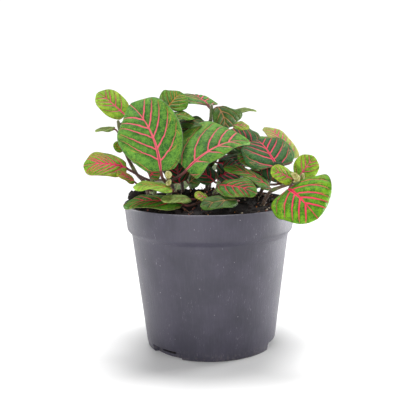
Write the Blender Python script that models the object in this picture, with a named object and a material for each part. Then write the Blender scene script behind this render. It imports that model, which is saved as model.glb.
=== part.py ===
"""Potted nerve plant (Fittonia): a plastic nursery pot, its soil, and a bushy plant of stems and leaves.

Metres, +Z up. The origin is the centre of the pot's flat underside, on the pot's axis. -Y is the front.
The plant is laid out from the rim: x and y from the pot's axis, z above the rim, all in millimetres for a
pot of the standard rim radius, and it grows or shrinks with the rim.
"""

import math

import bpy
import numpy as np

MM = 0.001

# Pot, mm
RIM_RADIUS = 60.0
POT_HEIGHT = 102.0
BASE_RADIUS = 45.5
WALL = 1.2
COLLAR_HEIGHT = 17.0
SHOULDER_HEIGHT = 5.5
COLLAR_DRAFT = 1.8
SHOULDER_STEP = 3.2
LIP_ROUND = 0.5
BASE_ROUND = 1.6
FLOOR = 1.4
POT_SECTORS = 48

# Three drainage notches pressed in where the wall meets the floor, mm and degrees
NOTCH_COUNT = 3
NOTCH_HEIGHT = 5.0
NOTCH_DEPTH = 3.5
NOTCH_WIDTH = 26.0
NOTCH_FIRST = -43.5
SLOT_WIDTH = 13.0
SLOT_HEIGHT = 2.2

# Soil, mm
CLEARANCE = 0.3
SOIL_DROP = 3.5
SOIL_MOUND = 8.0
SOCKET_DEPTH = 7.0
SOIL_SECTORS = 36

# Plant, mm
STANDARD_RIM_RADIUS = 60.0
STEM_RADIUS = 1.5
STEM_TAPER = 0.75
PETIOLE_RADIUS = 0.9
LEAF_THICKNESS = 0.9
STEM_SIDES = 8

PLANT_SCALE = RIM_RADIUS / STANDARD_RIM_RADIUS

# Material of each piece: base colour, roughness
COLOURS = {
    "pot": ((0.085, 0.082, 0.105), 0.5),
    "soil": ((0.018, 0.012, 0.009), 0.95),
    "stem": ((0.16, 0.07, 0.06), 0.6),
    "mature": ((0.07, 0.22, 0.05), 0.42),
    "young": ((0.25, 0.42, 0.05), 0.45),
}

# Stems: name, foot (x, y), then the points that each passes through above the soil
STEMS = (
    ("stem_left", (-43, -6), ((-44, -6, 13), (-51, -8, 22), (-59, -6, 39), (-63, 2, 56))),
    ("stem_mid_left", (-37, -14), ((-39, -13, 16), (-42, -12, 24), (-44, -12, 31))),
    ("stem_centre", (-26, -27), ((-27, -28, 8), (-27.5, -29, 13), (-28, -29, 18))),
    ("stem_front", (2, -22), ((3, -24, 8), (5, -25, 12), (6, -26, 16))),
    ("stem_right", (36, -26), ((40, -29, 10), (49, -35, 15), (56, -38, 18))),
    ("stem_inner_right", (36, 6), ((40, 4, 12), (45, 2, 20), (48, 0, 27))),
    ("stem_upright", (-2, 9), ((-1, 8, 22), (1, 6, 45), (2, 5, 66))),
    ("stem_inner_left", (-19, 4), ((-21, 4, 25), (-25, 3, 48), (-27, 2, 63))),
    ("stem_back_left", (-26, 26), ((-32, 29, 16), (-42, 34, 27), (-48, 38, 36))),
    ("stem_back", (0, 32), ((1, 35, 16), (2, 41, 30), (2, 46, 42))),
    ("stem_back_right", (26, 26), ((31, 30, 14), (38, 36, 24), (44, 41, 34))),
)

# Leaves of each stem: name, kind, place along the stem, blade base, blade tip, facing, then the blade's
# width, arch, fold, bend and tip curl, where along it is widest, and how much wider its right half is
LEAVES = {
    "stem_left": (
        ("leaf_14", "mature", 0.97, (-59, 12, 60), (-80, 22, 77), (-1, -8, 6), 19, 2, 0.08, 0, -2, 0.46, 0),
        ("leaf_15", "young", 0.85, (-66, 3, 51), (-80, 6, 50), (0, -3, 9), 10, 1, 0.06, 0, 0, 0.4, 0),
        ("leaf_30", "young", 0.45, (-59, -10.5, 37), (-64, -14.5, 43),
         (0, -9, 3), 7, 0, 0.06, 0, 0, 0.44, 0),
    ),
    "stem_mid_left": (
        ("leaf_16", "young", 0.5, (-57, -12, 25), (-85, -18, 28), (-1, -6, 8), 25, 3, 0.1, 0, -1, 0.54, 0),
        ("leaf_17", "young", 0.25, (-51, -20, 17), (-62, -27, 24), (0, -6, 8), 10, 1, 0.08, 0, 0, 0.45, 0),
        ("leaf_29", "young", 0.8, (-50, -6, 28), (-53, -6, 36), (0, -9, 3), 6, 0, 0.06, 0, 0, 0.44, 0),
        ("leaf_31", "mature", 0.85, (-40, -17, 29), (-30, -14, 36), (0, -8, 5), 14, 1, 0.06, 0, 0, 0.44, 0),
    ),
    "stem_centre": (
        ("leaf_01", "mature", 0.95, (-32, -30, 25), (-54, -13, 70),
         (-1, -9, 4), 43, 4, 0.08, 5, -6, 0.5, -0.06),
        ("leaf_02", "mature", 0.95, (-15, -28, 25), (28, -8, 43),
         (0, -6, 7), 35, 8, 0.12, -1, -2, 0.36, -0.5),
        ("leaf_18", "young", 0.5, (-25, -39, 14), (-49, -45, 17), (0, -2, 10), 20, 2, 0.06, 0, -1, 0.44, 0),
    ),
    "stem_front": (
        ("leaf_19", "young", 0.35, (-13, -37, 7), (-31, -47, 8), (0, -4, 9), 12, 1, 0.1, 0, 0, 0.44, 0),
        ("leaf_20", "mature", 0.12, (-18, -41, 4), (-57, -36, 4), (0, -3, 10), 22, 3, 0.08, 0, -1, 0.46, 0),
        ("leaf_21", "young", 0.5, (-1, -38.5, 6.5), (-10, -42, 11), (0, -6, 8), 9, 1, 0.06, 0, 0, 0.44, 0),
        ("leaf_22", "young", 0.4, (17, -45, 7), (-6, -54, 4.5), (0, -5, 9), 15, 2, 0.08, 0, 0, 0.44, 0),
        ("leaf_23", "mature", 0.85, (7, -36, 15.5), (30, -49, 12.5),
         (0, -6, 9), 20, 2, 0.08, 0, -1, 0.44, 0),
        ("leaf_25", "mature", 0.95, (3, -16, 16), (-9, -8, 24), (0, -6, 8), 16, 1, 0.08, 0, 0, 0.44, 0),
    ),
    "stem_right": (
        ("leaf_05", "young", 0.97, (60, -26, 20), (70, -22, 33), (2, -9, 4), 17, 1, 0.1, 0, 0, 0.46, 0),
        ("leaf_06", "mature", 0.9, (51.5, -42, 13), (67, -65, -2),
         (-3, -7, 6), 42, 7, 0.08, 0, 0, 0.42, -0.1),
        ("leaf_07", "young", 0.97, (53, -42, 20), (39, -47, 27), (0, -8, 6), 13, 1, 0.1, 0, 0, 0.45, 0),
        ("leaf_24", "young", 0.5, (40.5, -19, 11.5), (10, -22, 26.8),
         (0, -3, 9), 18, 3, 0.08, 0, -1, 0.4, 0),
    ),
    "stem_inner_right": (
        ("leaf_03", "mature", 0.95, (46, -9, 25), (33.5, 17, 43), (1, -6, 7), 38, 3, 0.08, 0, -2, 0.42, 0),
        ("leaf_04", "young", 0.85, (59, 13, 28), (42.5, 43, 50.5), (2, -4, 9), 19, 3, 0.1, 0, -2, 0.36, 0),
        ("leaf_08", "mature", 0.7, (34, 23, 36), (13, 30, 48), (0, -5, 9), 30, 2, 0.08, 0, -2, 0.44, 0),
        ("leaf_43", "young", 0.3, (50, 14, 10), (74, 24, 2), (3, 0, 9), 26, 4, 0.08, 0, -2, 0.44, 0),
    ),
    "stem_upright": (
        ("leaf_09", "mature", 0.97, (-1, 9, 67), (-16, 31, 75), (3, -3, 8.5), 29, 2, 0.04, 0, -2, 0.44, 0),
        ("leaf_10", "mature", 0.95, (6.5, 4, 65), (11, 3.5, 49.5),
         (4, -8, 3), 24, 4, 0.06, 0, -1, 0.56, -0.3),
        ("leaf_26", "mature", 0.95, (16, 26, 60.8), (35, 29, 61.8),
         (0, -2, 10), 12, 2, 0.04, 0, 0, 0.44, 0),
        ("leaf_27", "young", 0.72, (17, 13, 52), (29, 15, 51), (0, -5, 8), 11, 1, 0.06, 0, 0, 0.44, 0),
        ("leaf_41", "mature", 0.88, (0, 20, 50), (1, 48, 46), (1, 1, 10), 26, 3, 0.06, 0, -2, 0.44, 0),
        ("leaf_47", "mature", 0.45, (12, 20, 32), (24, 42, 27), (1, 0, 10), 24, 3, 0.08, 0, -2, 0.44, 0),
    ),
    "stem_inner_left": (
        ("leaf_11", "mature", 0.97, (-28, -3, 66), (-19, 8, 76), (2, -7, 7), 21, 1, 0.08, 0, 0, 0.44, 0),
        ("leaf_12", "mature", 0.9, (-23, -8, 60), (-10.5, -1, 58.3),
         (0, -4, 9), 16, 2, 0.08, 0, 0, 0.44, 0),
        ("leaf_13", "mature", 0.84, (-22, -1, 54), (1, -1, 53), (0, -3, 10), 22, 3, 0.08, 0, -2, 0.44, 0),
        ("leaf_28", "mature", 0.2, (-22, -8, 24), (-22, 0, 52), (0, -9, 3), 18, 2, 0.06, 0, 0, 0.44, 0),
        ("leaf_42", "mature", 0.92, (-34, 12, 58), (-44, 40, 59), (-1, 2, 10), 32, 4, 0.08, 0, -2, 0.44, 0),
        ("leaf_46", "mature", 0.75, (-12, 14, 48), (-22, 38, 44), (0, -1, 10), 24, 3, 0.08, 0, -2, 0.44, 0),
    ),
    "stem_back_left": (
        ("leaf_32", "mature", 0.95, (-49, 44, 42), (-58, 72, 44), (-1, 1, 10), 30, 5, 0.08, 0, -3, 0.44, 0),
        ("leaf_33", "mature", 0.9, (-38, 50, 39), (-32, 84, 33), (0, 3, 10), 32, 5, 0.08, 0, -3, 0.44, 0),
        ("leaf_34", "young", 0.25, (-40, 44, 10), (-52, 68, -8), (-2, 4, 8), 24, 4, 0.08, 0, -2, 0.44, 0),
    ),
    "stem_back": (
        ("leaf_35", "mature", 0.97, (-6, 50, 47), (-28, 66, 56), (-2, 2, 10), 32, 3, 0.08, 0, -2, 0.44, 0),
        ("leaf_36", "mature", 0.9, (10, 52, 38), (24, 85, 31), (1, 2, 10), 36, 6, 0.08, 0, -3, 0.44, 0),
        ("leaf_37", "young", 0.45, (-4, 54, 20), (-12, 84, 6), (0, 5, 8), 30, 5, 0.08, 0, -2, 0.44, 0),
        ("leaf_44", "mature", 0.3, (-18, 54, 10), (-28, 84, -4), (-1, 5, 8), 26, 4, 0.08, 0, -2, 0.44, 0),
    ),
    "stem_back_right": (
        ("leaf_38", "mature", 0.95, (49, 48, 36), (54, 76, 34), (2, 1, 10), 26, 4, 0.08, 0, -3, 0.44, 0),
        ("leaf_39", "mature", 0.8, (36, 52, 30), (30, 84, 18), (1, 4, 9), 28, 5, 0.08, 0, -3, 0.44, 0),
        ("leaf_40", "young", 0.5, (48, 38, 16), (72, 52, 4), (3, 3, 8), 26, 4, 0.08, 0, -2, 0.44, 0),
        ("leaf_45", "young", 0.3, (24, 50, 12), (34, 79, -2), (1, 5, 8), 26, 4, 0.08, 0, -2, 0.44, 0),
    ),
}


def remove_everything():
    """Empties the scene."""
    for obj in list(bpy.data.objects):
        bpy.data.objects.remove(obj, do_unlink=True)


def plain(values):
    return np.asarray(values, float)


def unit(vector):
    return vector / np.linalg.norm(vector)


def hermite(start, end, leave, arrive, count):
    """Points of a cubic from start to end, with the first one left out."""
    t = np.arange(1, count + 1)[:, None] / count
    turn = 3 * t**2 - 2 * t**3
    return start + (end - start) * turn + leave * (t - 2 * t**2 + t**3) + arrive * (t**3 - t**2)


# ---- outlines ------------------------------------------------------------------------------------------


def body_radius(z):
    """Outer radius of the tapered body below the shoulder."""
    low = plain((BASE_RADIUS, 0.0))
    high = plain((RIM_RADIUS - COLLAR_DRAFT - SHOULDER_STEP, POT_HEIGHT - COLLAR_HEIGHT - SHOULDER_HEIGHT))
    return low[0] + (high[0] - low[0]) * z / high[1]


def upper_profile(inset):
    """Radius and height of the wall from the shoulder up to under the lip, moved in by inset."""
    collar_z = POT_HEIGHT - COLLAR_HEIGHT
    collar_r = RIM_RADIUS - COLLAR_DRAFT
    points = [(body_radius(collar_z - SHOULDER_HEIGHT - 1.5), collar_z - SHOULDER_HEIGHT - 1.5)]
    for share in (0.1, 0.35, 0.7, 0.93, 1.0):
        ease = share * share * (3 - 2 * share)
        points.append((collar_r - SHOULDER_STEP * (1 - ease), collar_z - SHOULDER_HEIGHT * (1 - share)))
    return [(r - inset, z) for r, z in points]


def notch_share(angle, half_width, ramp):
    """1 inside a notch, 0 outside it, and a straight ramp between."""
    pitch = 360.0 / NOTCH_COUNT
    off = abs((angle - NOTCH_FIRST + pitch / 2) % pitch - pitch / 2)
    return min(1.0, max(0.0, (half_width + ramp - off) / ramp))


def sector_angles(sectors, edges, ramp):
    """Even sectors, with extra ones where the notches begin and end."""
    angles = set(round(i * 360.0 / sectors, 3) for i in range(sectors))
    for index in range(NOTCH_COUNT):
        middle = NOTCH_FIRST + index * 360.0 / NOTCH_COUNT
        for edge in edges:
            for side in (-1, 1):
                for step in (0.0, ramp):
                    angles.add(round((middle + side * (edge + step)) % 360.0, 3))
    kept = []
    for angle in sorted(angles):
        if not kept or angle - kept[-1] > 0.15:
            kept.append(angle)
    return kept


NOTCH_RAMP = 0.8
NOTCH_EDGE = math.degrees(NOTCH_WIDTH / 2 / BASE_RADIUS)
WALL_EDGE = NOTCH_EDGE + math.degrees((WALL + 0.4) / BASE_RADIUS)
SOIL_EDGE = WALL_EDGE + math.degrees((CLEARANCE + 0.4) / BASE_RADIUS)


def revolve(angles, profile_at):
    """A closed skin of profile_at(angle) round the axis. The first and last points lie on the axis."""
    rings = [profile_at(angle) for angle in angles]
    count = len(rings[0]) - 2
    verts = [(0.0, 0.0, rings[0][0][1])]
    for angle, ring in zip(angles, rings):
        a = math.radians(angle)
        verts += [(r * math.sin(a), -r * math.cos(a), z) for r, z in ring[1:-1]]
    verts.append((0.0, 0.0, rings[0][-1][1]))
    faces = []
    total = len(angles)
    for i in range(total):
        here = 1 + i * count
        there = 1 + ((i + 1) % total) * count
        faces.append((0, here, there))
        faces.append((len(verts) - 1, there + count - 1, here + count - 1))
        for k in range(count - 1):
            faces.append((here + k, here + k + 1, there + k + 1))
            faces.append((here + k, there + k + 1, there + k))
    return plain(verts), faces


def pot_profile(angle):
    outer = notch_share(angle, NOTCH_EDGE, NOTCH_RAMP)
    inner = notch_share(angle, WALL_EDGE, NOTCH_RAMP)
    pressed = BASE_RADIUS - NOTCH_DEPTH
    points = [(0.0, 0.0)]
    for turn in (0.0, 30.0, 60.0, 90.0):
        r = BASE_RADIUS - BASE_ROUND * (1 - math.sin(math.radians(turn)))
        z = BASE_ROUND * (1 - math.cos(math.radians(turn)))
        points.append((r + (pressed - r) * outer, z))
    brow = body_radius(NOTCH_HEIGHT)
    points.append((brow + (pressed - brow) * outer, NOTCH_HEIGHT - 0.1 * (1 - outer)))
    points.append((body_radius(NOTCH_HEIGHT + 0.4), NOTCH_HEIGHT + 0.4))
    points += upper_profile(0.0)
    for turn in (0.0, 45.0, 90.0):
        r = RIM_RADIUS - LIP_ROUND * (1 - math.cos(math.radians(turn)))
        points.append((r, POT_HEIGHT - LIP_ROUND * (1 - math.sin(math.radians(turn)))))
    for turn in (90.0, 45.0, 0.0):
        r = RIM_RADIUS - WALL + LIP_ROUND * (1 - math.cos(math.radians(turn)))
        points.append((r, POT_HEIGHT - LIP_ROUND * (1 - math.sin(math.radians(turn)))))
    points += upper_profile(WALL)[::-1]
    ledge = NOTCH_HEIGHT + WALL
    points.append((body_radius(ledge + 0.4) - WALL, ledge + 0.4))
    shelf = body_radius(ledge) - WALL
    points.append((shelf + (pressed - WALL - shelf) * inner, ledge))
    low = body_radius(FLOOR) - WALL
    points.append((low + (pressed - WALL - low) * inner, FLOOR))
    points.append((0.0, FLOOR))
    return points


def soil_height(x, y):
    """Height of the soil, which is heaped in the middle and lumpy."""
    reach = min(1.0, math.hypot(x, y) / (RIM_RADIUS - WALL))
    lumps = 0.9 * math.sin(x / 5.3 + 1.0) * math.cos(y / 6.1) + 0.6 * math.sin(x / 3.1 - y / 4.3)
    heap = SOIL_MOUND * PLANT_SCALE * (1 - reach * reach)
    return POT_HEIGHT - SOIL_DROP + heap + lumps * min(1.0, 4 * (1 - reach))


SOIL_RINGS = (0.985, 0.93, 0.85, 0.75, 0.62, 0.48, 0.34, 0.18)


def soil_profile(angle):
    share = notch_share(angle, SOIL_EDGE, NOTCH_RAMP)
    pressed = BASE_RADIUS - NOTCH_DEPTH - WALL - CLEARANCE
    gap = WALL + CLEARANCE
    bottom = FLOOR + CLEARANCE
    ledge = NOTCH_HEIGHT + WALL + CLEARANCE
    low = body_radius(bottom) - gap
    shelf = body_radius(ledge) - gap
    points = [(0.0, bottom)]
    points.append((low + (pressed - low) * share, bottom))
    points.append((shelf + (pressed - shelf) * share, ledge))
    points.append((body_radius(ledge + 0.4) - gap, ledge + 0.4))
    points += upper_profile(gap)
    brim = POT_HEIGHT - SOIL_DROP - 0.8
    collar_z = POT_HEIGHT - COLLAR_HEIGHT
    edge = RIM_RADIUS - gap - COLLAR_DRAFT * (POT_HEIGHT - brim) / COLLAR_HEIGHT
    points.append((edge, max(brim, collar_z + 1.0)))
    a = math.radians(angle)
    for ring in SOIL_RINGS:
        r = ring * edge
        points.append((r, soil_height(r * math.sin(a), -r * math.cos(a))))
    points.append((0.0, soil_height(0.0, 0.0)))
    return points


# ---- stems and leaves ----------------------------------------------------------------------------------


def placed(point):
    """A point given from the rim's centre, in millimetres of this pot."""
    return plain(point) * PLANT_SCALE + plain((0, 0, POT_HEIGHT))


def stem_spine(foot, above):
    """Points along a stem, from the bottom of its socket to its tip, and the count of those in the soil."""
    x, y = plain(foot) * PLANT_SCALE
    z = soil_height(x, y)
    planted = [(x, y, z - SOCKET_DEPTH + CLEARANCE), (x, y, z + 1.2)]
    nodes = [plain(planted[1])] + [placed(point) for point in above]
    slopes = [plain((0, 0, nodes[1][2] - nodes[0][2]))]
    for i in range(1, len(nodes) - 1):
        slopes.append((nodes[i + 1] - nodes[i - 1]) / 2)
    slopes.append(nodes[-1] - nodes[-2])
    points = [plain(planted)]
    for i in range(len(nodes) - 1):
        points.append(hermite(nodes[i], nodes[i + 1], slopes[i], slopes[i + 1], 2))
    return np.concatenate(points)


def stem_radius(share):
    return STEM_RADIUS * PLANT_SCALE * (1 + (STEM_TAPER - 1) * share)


def shares_along(points):
    steps = np.linalg.norm(np.diff(points, axis=0), axis=1)
    run = np.concatenate([[0.0], np.cumsum(steps)])
    return run / run[-1]


def carried_frames(points, first_up):
    """Tangent, side and up at each point, turning as little as possible from one to the next."""
    tangents = np.gradient(points, axis=0)
    tangents /= np.linalg.norm(tangents, axis=1)[:, None]
    up = plain(first_up)
    frames = []
    for tangent in tangents:
        up = unit(up - tangent * (up @ tangent))
        frames.append((tangent, np.cross(tangent, up), up))
    return frames


def skin(rings, tip=None):
    """A closed tube through rings of equal count, with a flat start, and a flat end or a pointed tip."""
    size = len(rings[0])
    verts = np.concatenate(rings)
    faces = [tuple(range(size))]
    for i in range(len(rings) - 1):
        for k in range(size):
            a = i * size + k
            b = i * size + (k + 1) % size
            faces.append((b, a, a + size, b + size))
    last = (len(rings) - 1) * size
    if tip is None:
        faces.append(tuple(range(last, last + size))[::-1])
        return verts, faces
    verts = np.concatenate([verts, [tip]])
    for k in range(size):
        faces.append((last + (k + 1) % size, last + k, len(verts) - 1))
    return verts, faces


def stem_mesh(foot, above):
    points = stem_spine(foot, above)
    shares = shares_along(points)
    rings = []
    for point, share, (_, side, up) in zip(points, shares, carried_frames(points, (0, -1, 0))):
        turns = np.arange(STEM_SIDES)[:, None] * 2 * math.pi / STEM_SIDES
        rings.append(point + stem_radius(share) * (side * np.cos(turns) + up * np.sin(turns)))
    return skin(rings)


def stem_place(name, along):
    """Point, direction and radius of a stem at a share of its length above the soil."""
    foot, above = {row[0]: row[1:] for row in STEMS}[name]
    points = stem_spine(foot, above)
    whole = shares_along(points)
    shares = shares_along(points[1:])
    point = plain([np.interp(along, shares, points[1:, axis]) for axis in range(3)])
    ahead = plain([np.interp(min(1, along + 0.04), shares, points[1:, axis]) for axis in range(3)])
    behind = plain([np.interp(along - 0.04, shares, points[1:, axis]) for axis in range(3)])
    return point, unit(ahead - behind), stem_radius(np.interp(along, shares, whole[1:]))


# Rows of a leaf: places along the petiole and along the blade, and across it from edge to edge
PETIOLE_ROWS = 4
BLADE_ROWS = (0.0, 0.04, 0.12, 0.25, 0.40, 0.56, 0.72, 0.86, 0.95)
ACROSS = (-1.0, -0.55, 0.0, 0.55, 1.0)
LOBE = 0.14


def blade_outline(s, widest):
    """Half width along the blade, from 0 at its base to 1 where it is widest."""
    rise = 0.5 * min(1.0, widest / (1 - widest))
    fall = rise * (1 - widest) / widest
    return (s / widest) ** rise * ((1 - s) / (1 - widest)) ** fall


def lobe_back(s, u, width):
    """How far the blade's base is swept back towards the stem at this place across it."""
    return LOBE * width / 2 * u * u * min(1.0, s / 0.05) * max(0.0, 1 - s / 0.45) ** 2


def blade_height(s, u, fold, width):
    """Height of the blade over its midrib: a shallow V with the edges rolled down and a slight wave."""
    rim = abs(u)
    wave = 0.035 * width * rim**3 * math.sin(9.5 * s + (0.6 if u > 0 else 2.4))
    return width / 2 * (fold * rim - 0.14 * rim**2.4) * min(1.0, 6 * s) + wave


def leaf_mesh(stem, along, base, tip, facing, width, arch, fold, bend, curl, widest, lean):
    """One leaf: its petiole, from just off the stem, and its blade, as one closed skin."""
    on_stem, stem_way, radius = stem_place(stem, along)
    base = placed(base)
    tip = placed(tip)
    width, arch, bend, curl = plain((width, arch, bend, curl)) * PLANT_SCALE
    chord = tip - base
    normal = unit(plain(facing) - unit(chord) * (plain(facing) @ unit(chord)))
    side = unit(np.cross(chord, normal))
    s = plain(BLADE_ROWS)[:, None]
    hump = 4 * s * (1 - s)
    roll = np.clip((s - 0.65) / 0.35, 0, 1) ** 2
    spine = base + chord * s + normal * (arch * hump + curl * roll) + side * bend * hump
    out = base - on_stem
    out = unit(out - stem_way * (out @ stem_way))
    start = on_stem + out * (radius + CLEARANCE)
    reach = np.linalg.norm(base - start)
    leave = unit(out + 0.5 * stem_way) * reach
    arrive = unit(spine[1] - spine[0]) * reach
    petiole = np.concatenate([[start], hermite(start, base, leave, arrive, PETIOLE_ROWS)[:-1]])
    points = np.concatenate([petiole, spine])
    end = tip + normal * curl
    across = list(ACROSS) + list(ACROSS[1:-1])[::-1]
    over = [1] * len(ACROSS) + [-1] * (len(ACROSS) - 2)
    frames = carried_frames(np.concatenate([points, [end]]), normal)
    frames = frames[:-1]
    rings = []
    for index, point in enumerate(points):
        row = index - PETIOLE_ROWS
        way, _, _ = frames[index]
        up = unit(normal - way * (way @ normal))
        if index == 0:
            way = unit(out)
            up = unit(normal - way * (way @ normal))
        across_way = np.cross(way, up)
        petiole_half = PETIOLE_RADIUS * PLANT_SCALE
        half_width = petiole_half
        half_thick = petiole_half
        s_here = 0.0
        if row >= 0:
            s_here = BLADE_ROWS[row]
            half_width = max(petiole_half * (1 - s_here), width / 2 * blade_outline(s_here, widest))
            thin = min(1.0, s_here / 0.3)
            half_thick = petiole_half + (LEAF_THICKNESS / 2 * PLANT_SCALE - petiole_half) * thin
        ring = []
        for u, face in zip(across, over):
            rise = face * half_thick * math.sqrt(1 - u * u)
            height = blade_height(s_here, u, fold, width) if row >= 1 else 0.0
            back = lobe_back(s_here, u, width) if row >= 1 else 0.0
            reach = half_width * u * (1 + (lean if u > 0 else -lean) * min(1.0, 4 * s_here))
            ring.append(point + across_way * reach + up * (rise + height) - way * back)
        rings.append(plain(ring))
    return skin([ring[::-1] for ring in rings], end)


# ---- making the objects --------------------------------------------------------------------------------


def material(name, kind):
    made = bpy.data.materials.new(name)
    made.use_nodes = True
    shader = made.node_tree.nodes["Principled BSDF"]
    colour, roughness = COLOURS[kind]
    shader.inputs["Base Color"].default_value = (*colour, 1.0)
    shader.inputs["Roughness"].default_value = roughness
    shader.inputs["Metallic"].default_value = 0.0
    return made


def make_object(name, kind, verts, faces, smooth=True):
    """A named mesh object from points in millimetres, with its origin where its first ring or pole is."""
    start = verts[list(faces[0])].mean(axis=0) if len(faces[0]) > 4 else plain((0, 0, 0))
    mesh = bpy.data.meshes.new(name)
    mesh.from_pydata(((verts - start) * MM).tolist(), [], faces)
    mesh.update()
    obj = bpy.data.objects.new(name, mesh)
    obj.location = start * MM
    bpy.context.scene.collection.objects.link(obj)
    for polygon in mesh.polygons:
        polygon.use_smooth = smooth
    if kind:
        mesh.materials.append(material("mat_" + name, kind))
    return obj


def make_cutter(name, verts, faces, target):
    """A hidden solid that a modifier takes away from the target."""
    cutter = make_object(name, None, verts, faces, smooth=False)
    cutter.hide_render = True
    cutter.display_type = "WIRE"
    modifier = target.modifiers.new(name, "BOOLEAN")
    modifier.operation = "DIFFERENCE"
    modifier.solver = "EXACT"
    modifier.object = cutter
    return cutter


def box_mesh(centre_radius, angle, depth, width, low, high):
    """A box standing across the radius at this angle."""
    a = math.radians(angle)
    out = plain((math.sin(a), -math.cos(a), 0))
    along = plain((math.cos(a), math.sin(a), 0))
    verts = []
    for z in (low, high):
        for r, w in ((-1, -1), (1, -1), (1, 1), (-1, 1)):
            point = out * (centre_radius + r * depth / 2) + along * w * width / 2
            verts.append(point + plain((0, 0, z)))
    faces = [(3, 2, 1, 0), (4, 5, 6, 7), (0, 1, 5, 4), (1, 2, 6, 5), (2, 3, 7, 6), (3, 0, 4, 7)]
    return plain(verts), faces


def socket_mesh(foot):
    """The hole that a stem is planted in."""
    x, y = plain(foot) * PLANT_SCALE
    z = soil_height(x, y)
    radius = STEM_RADIUS * PLANT_SCALE + CLEARANCE
    turns = np.arange(STEM_SIDES) * 2 * math.pi / STEM_SIDES
    reach = radius / math.cos(math.pi / STEM_SIDES)
    rings = []
    for level in (z - SOCKET_DEPTH, z + 12.0):
        rings.append(np.stack([x + reach * np.sin(turns), y + reach * np.cos(turns), 0 * turns + level], 1))
    return skin(rings)


def make_pot():
    angles = sector_angles(POT_SECTORS, (NOTCH_EDGE, WALL_EDGE), NOTCH_RAMP)
    pot = make_object("pot", "pot", *revolve(angles, pot_profile))
    for index in range(NOTCH_COUNT):
        angle = NOTCH_FIRST + index * 360.0 / NOTCH_COUNT
        middle = BASE_RADIUS - NOTCH_DEPTH - WALL / 2
        low = FLOOR + 0.6
        slot = box_mesh(middle, angle, 6.0, SLOT_WIDTH, low, low + SLOT_HEIGHT)
        make_cutter("cut_slot_%d" % (index + 1), *slot, pot)
    return pot


def make_soil():
    angles = sector_angles(SOIL_SECTORS, (SOIL_EDGE,), NOTCH_RAMP)
    soil = make_object("soil", "soil", *revolve(angles, soil_profile))
    for name, foot, _ in STEMS:
        make_cutter("cut_" + name, *socket_mesh(foot), soil)
    return soil


def main():
    remove_everything()
    make_pot()
    make_soil()
    for name, foot, above in STEMS:
        make_object(name, "stem", *stem_mesh(foot, above))
    for stem, leaves in LEAVES.items():
        for name, kind, *shape in leaves:
            make_object(name, kind, *leaf_mesh(stem, *shape))


main()
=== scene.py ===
"""Looks of a potted nerve plant (Fittonia): veined leaves, hairy stems, crumbly soil and a moulded pot.

The plant is laid out from the pot's rim, as in the CAD: x and y from the pot's axis and z above the rim, in
millimetres. The rim's size and height come from the frame, and the pot, the stems and the CAD's leaves are
each checked against their node's box.
"""

import math

import bpy
import numpy as np
from mathutils import Matrix, Vector, noise


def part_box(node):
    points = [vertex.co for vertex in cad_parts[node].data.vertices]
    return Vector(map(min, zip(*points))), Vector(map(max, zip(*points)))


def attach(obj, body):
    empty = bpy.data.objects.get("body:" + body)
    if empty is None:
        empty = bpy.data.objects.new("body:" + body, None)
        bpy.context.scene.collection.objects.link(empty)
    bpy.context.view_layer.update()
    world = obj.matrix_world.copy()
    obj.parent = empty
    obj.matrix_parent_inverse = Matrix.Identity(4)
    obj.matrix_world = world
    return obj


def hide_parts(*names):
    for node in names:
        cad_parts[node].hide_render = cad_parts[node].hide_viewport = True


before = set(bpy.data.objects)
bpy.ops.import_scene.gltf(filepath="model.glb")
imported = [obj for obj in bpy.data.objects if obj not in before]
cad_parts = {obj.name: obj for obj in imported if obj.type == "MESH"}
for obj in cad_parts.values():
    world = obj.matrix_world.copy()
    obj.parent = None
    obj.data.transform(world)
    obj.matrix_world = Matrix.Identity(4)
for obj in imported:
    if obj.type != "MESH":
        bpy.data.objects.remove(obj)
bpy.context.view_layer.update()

MM = 0.001

# ---- places taken from the frame, mm -------------------------------------------------------------------

POT_LOW, POT_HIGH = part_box("pot")
RIM_RADIUS = (POT_HIGH.x - POT_LOW.x) / 2 / MM
POT_HEIGHT = POT_HIGH.z / MM
STANDARD_RIM_RADIUS = 60.0
PLANT_SCALE = RIM_RADIUS / STANDARD_RIM_RADIUS

# Pot, mm, as in the CAD
BASE_RADIUS = 45.5
WALL = 1.2
COLLAR_HEIGHT = 17.0
SHOULDER_HEIGHT = 5.5
COLLAR_DRAFT = 1.8
SHOULDER_STEP = 3.2
BASE_ROUND = 1.6
FLOOR = 1.4
NOTCH_COUNT = 3
NOTCH_HEIGHT = 5.0
NOTCH_DEPTH = 3.5
NOTCH_WIDTH = 26.0
NOTCH_FIRST = -43.5
SLOT_WIDTH = 13.0
SLOT_HEIGHT = 2.2

# Soil, mm, as in the CAD
SOIL_DROP = 3.5
SOIL_MOUND = 8.0
SOCKET_DEPTH = 7.0

# Plant, mm
STEM_RADIUS = 1.35
STEM_TAPER = 0.75
PETIOLE_RADIUS = 0.8
BLADE_HALF_THICKNESS = 0.26
LEAF_GRID = 0.75
MOST_MISPLACED = 2.5

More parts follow.
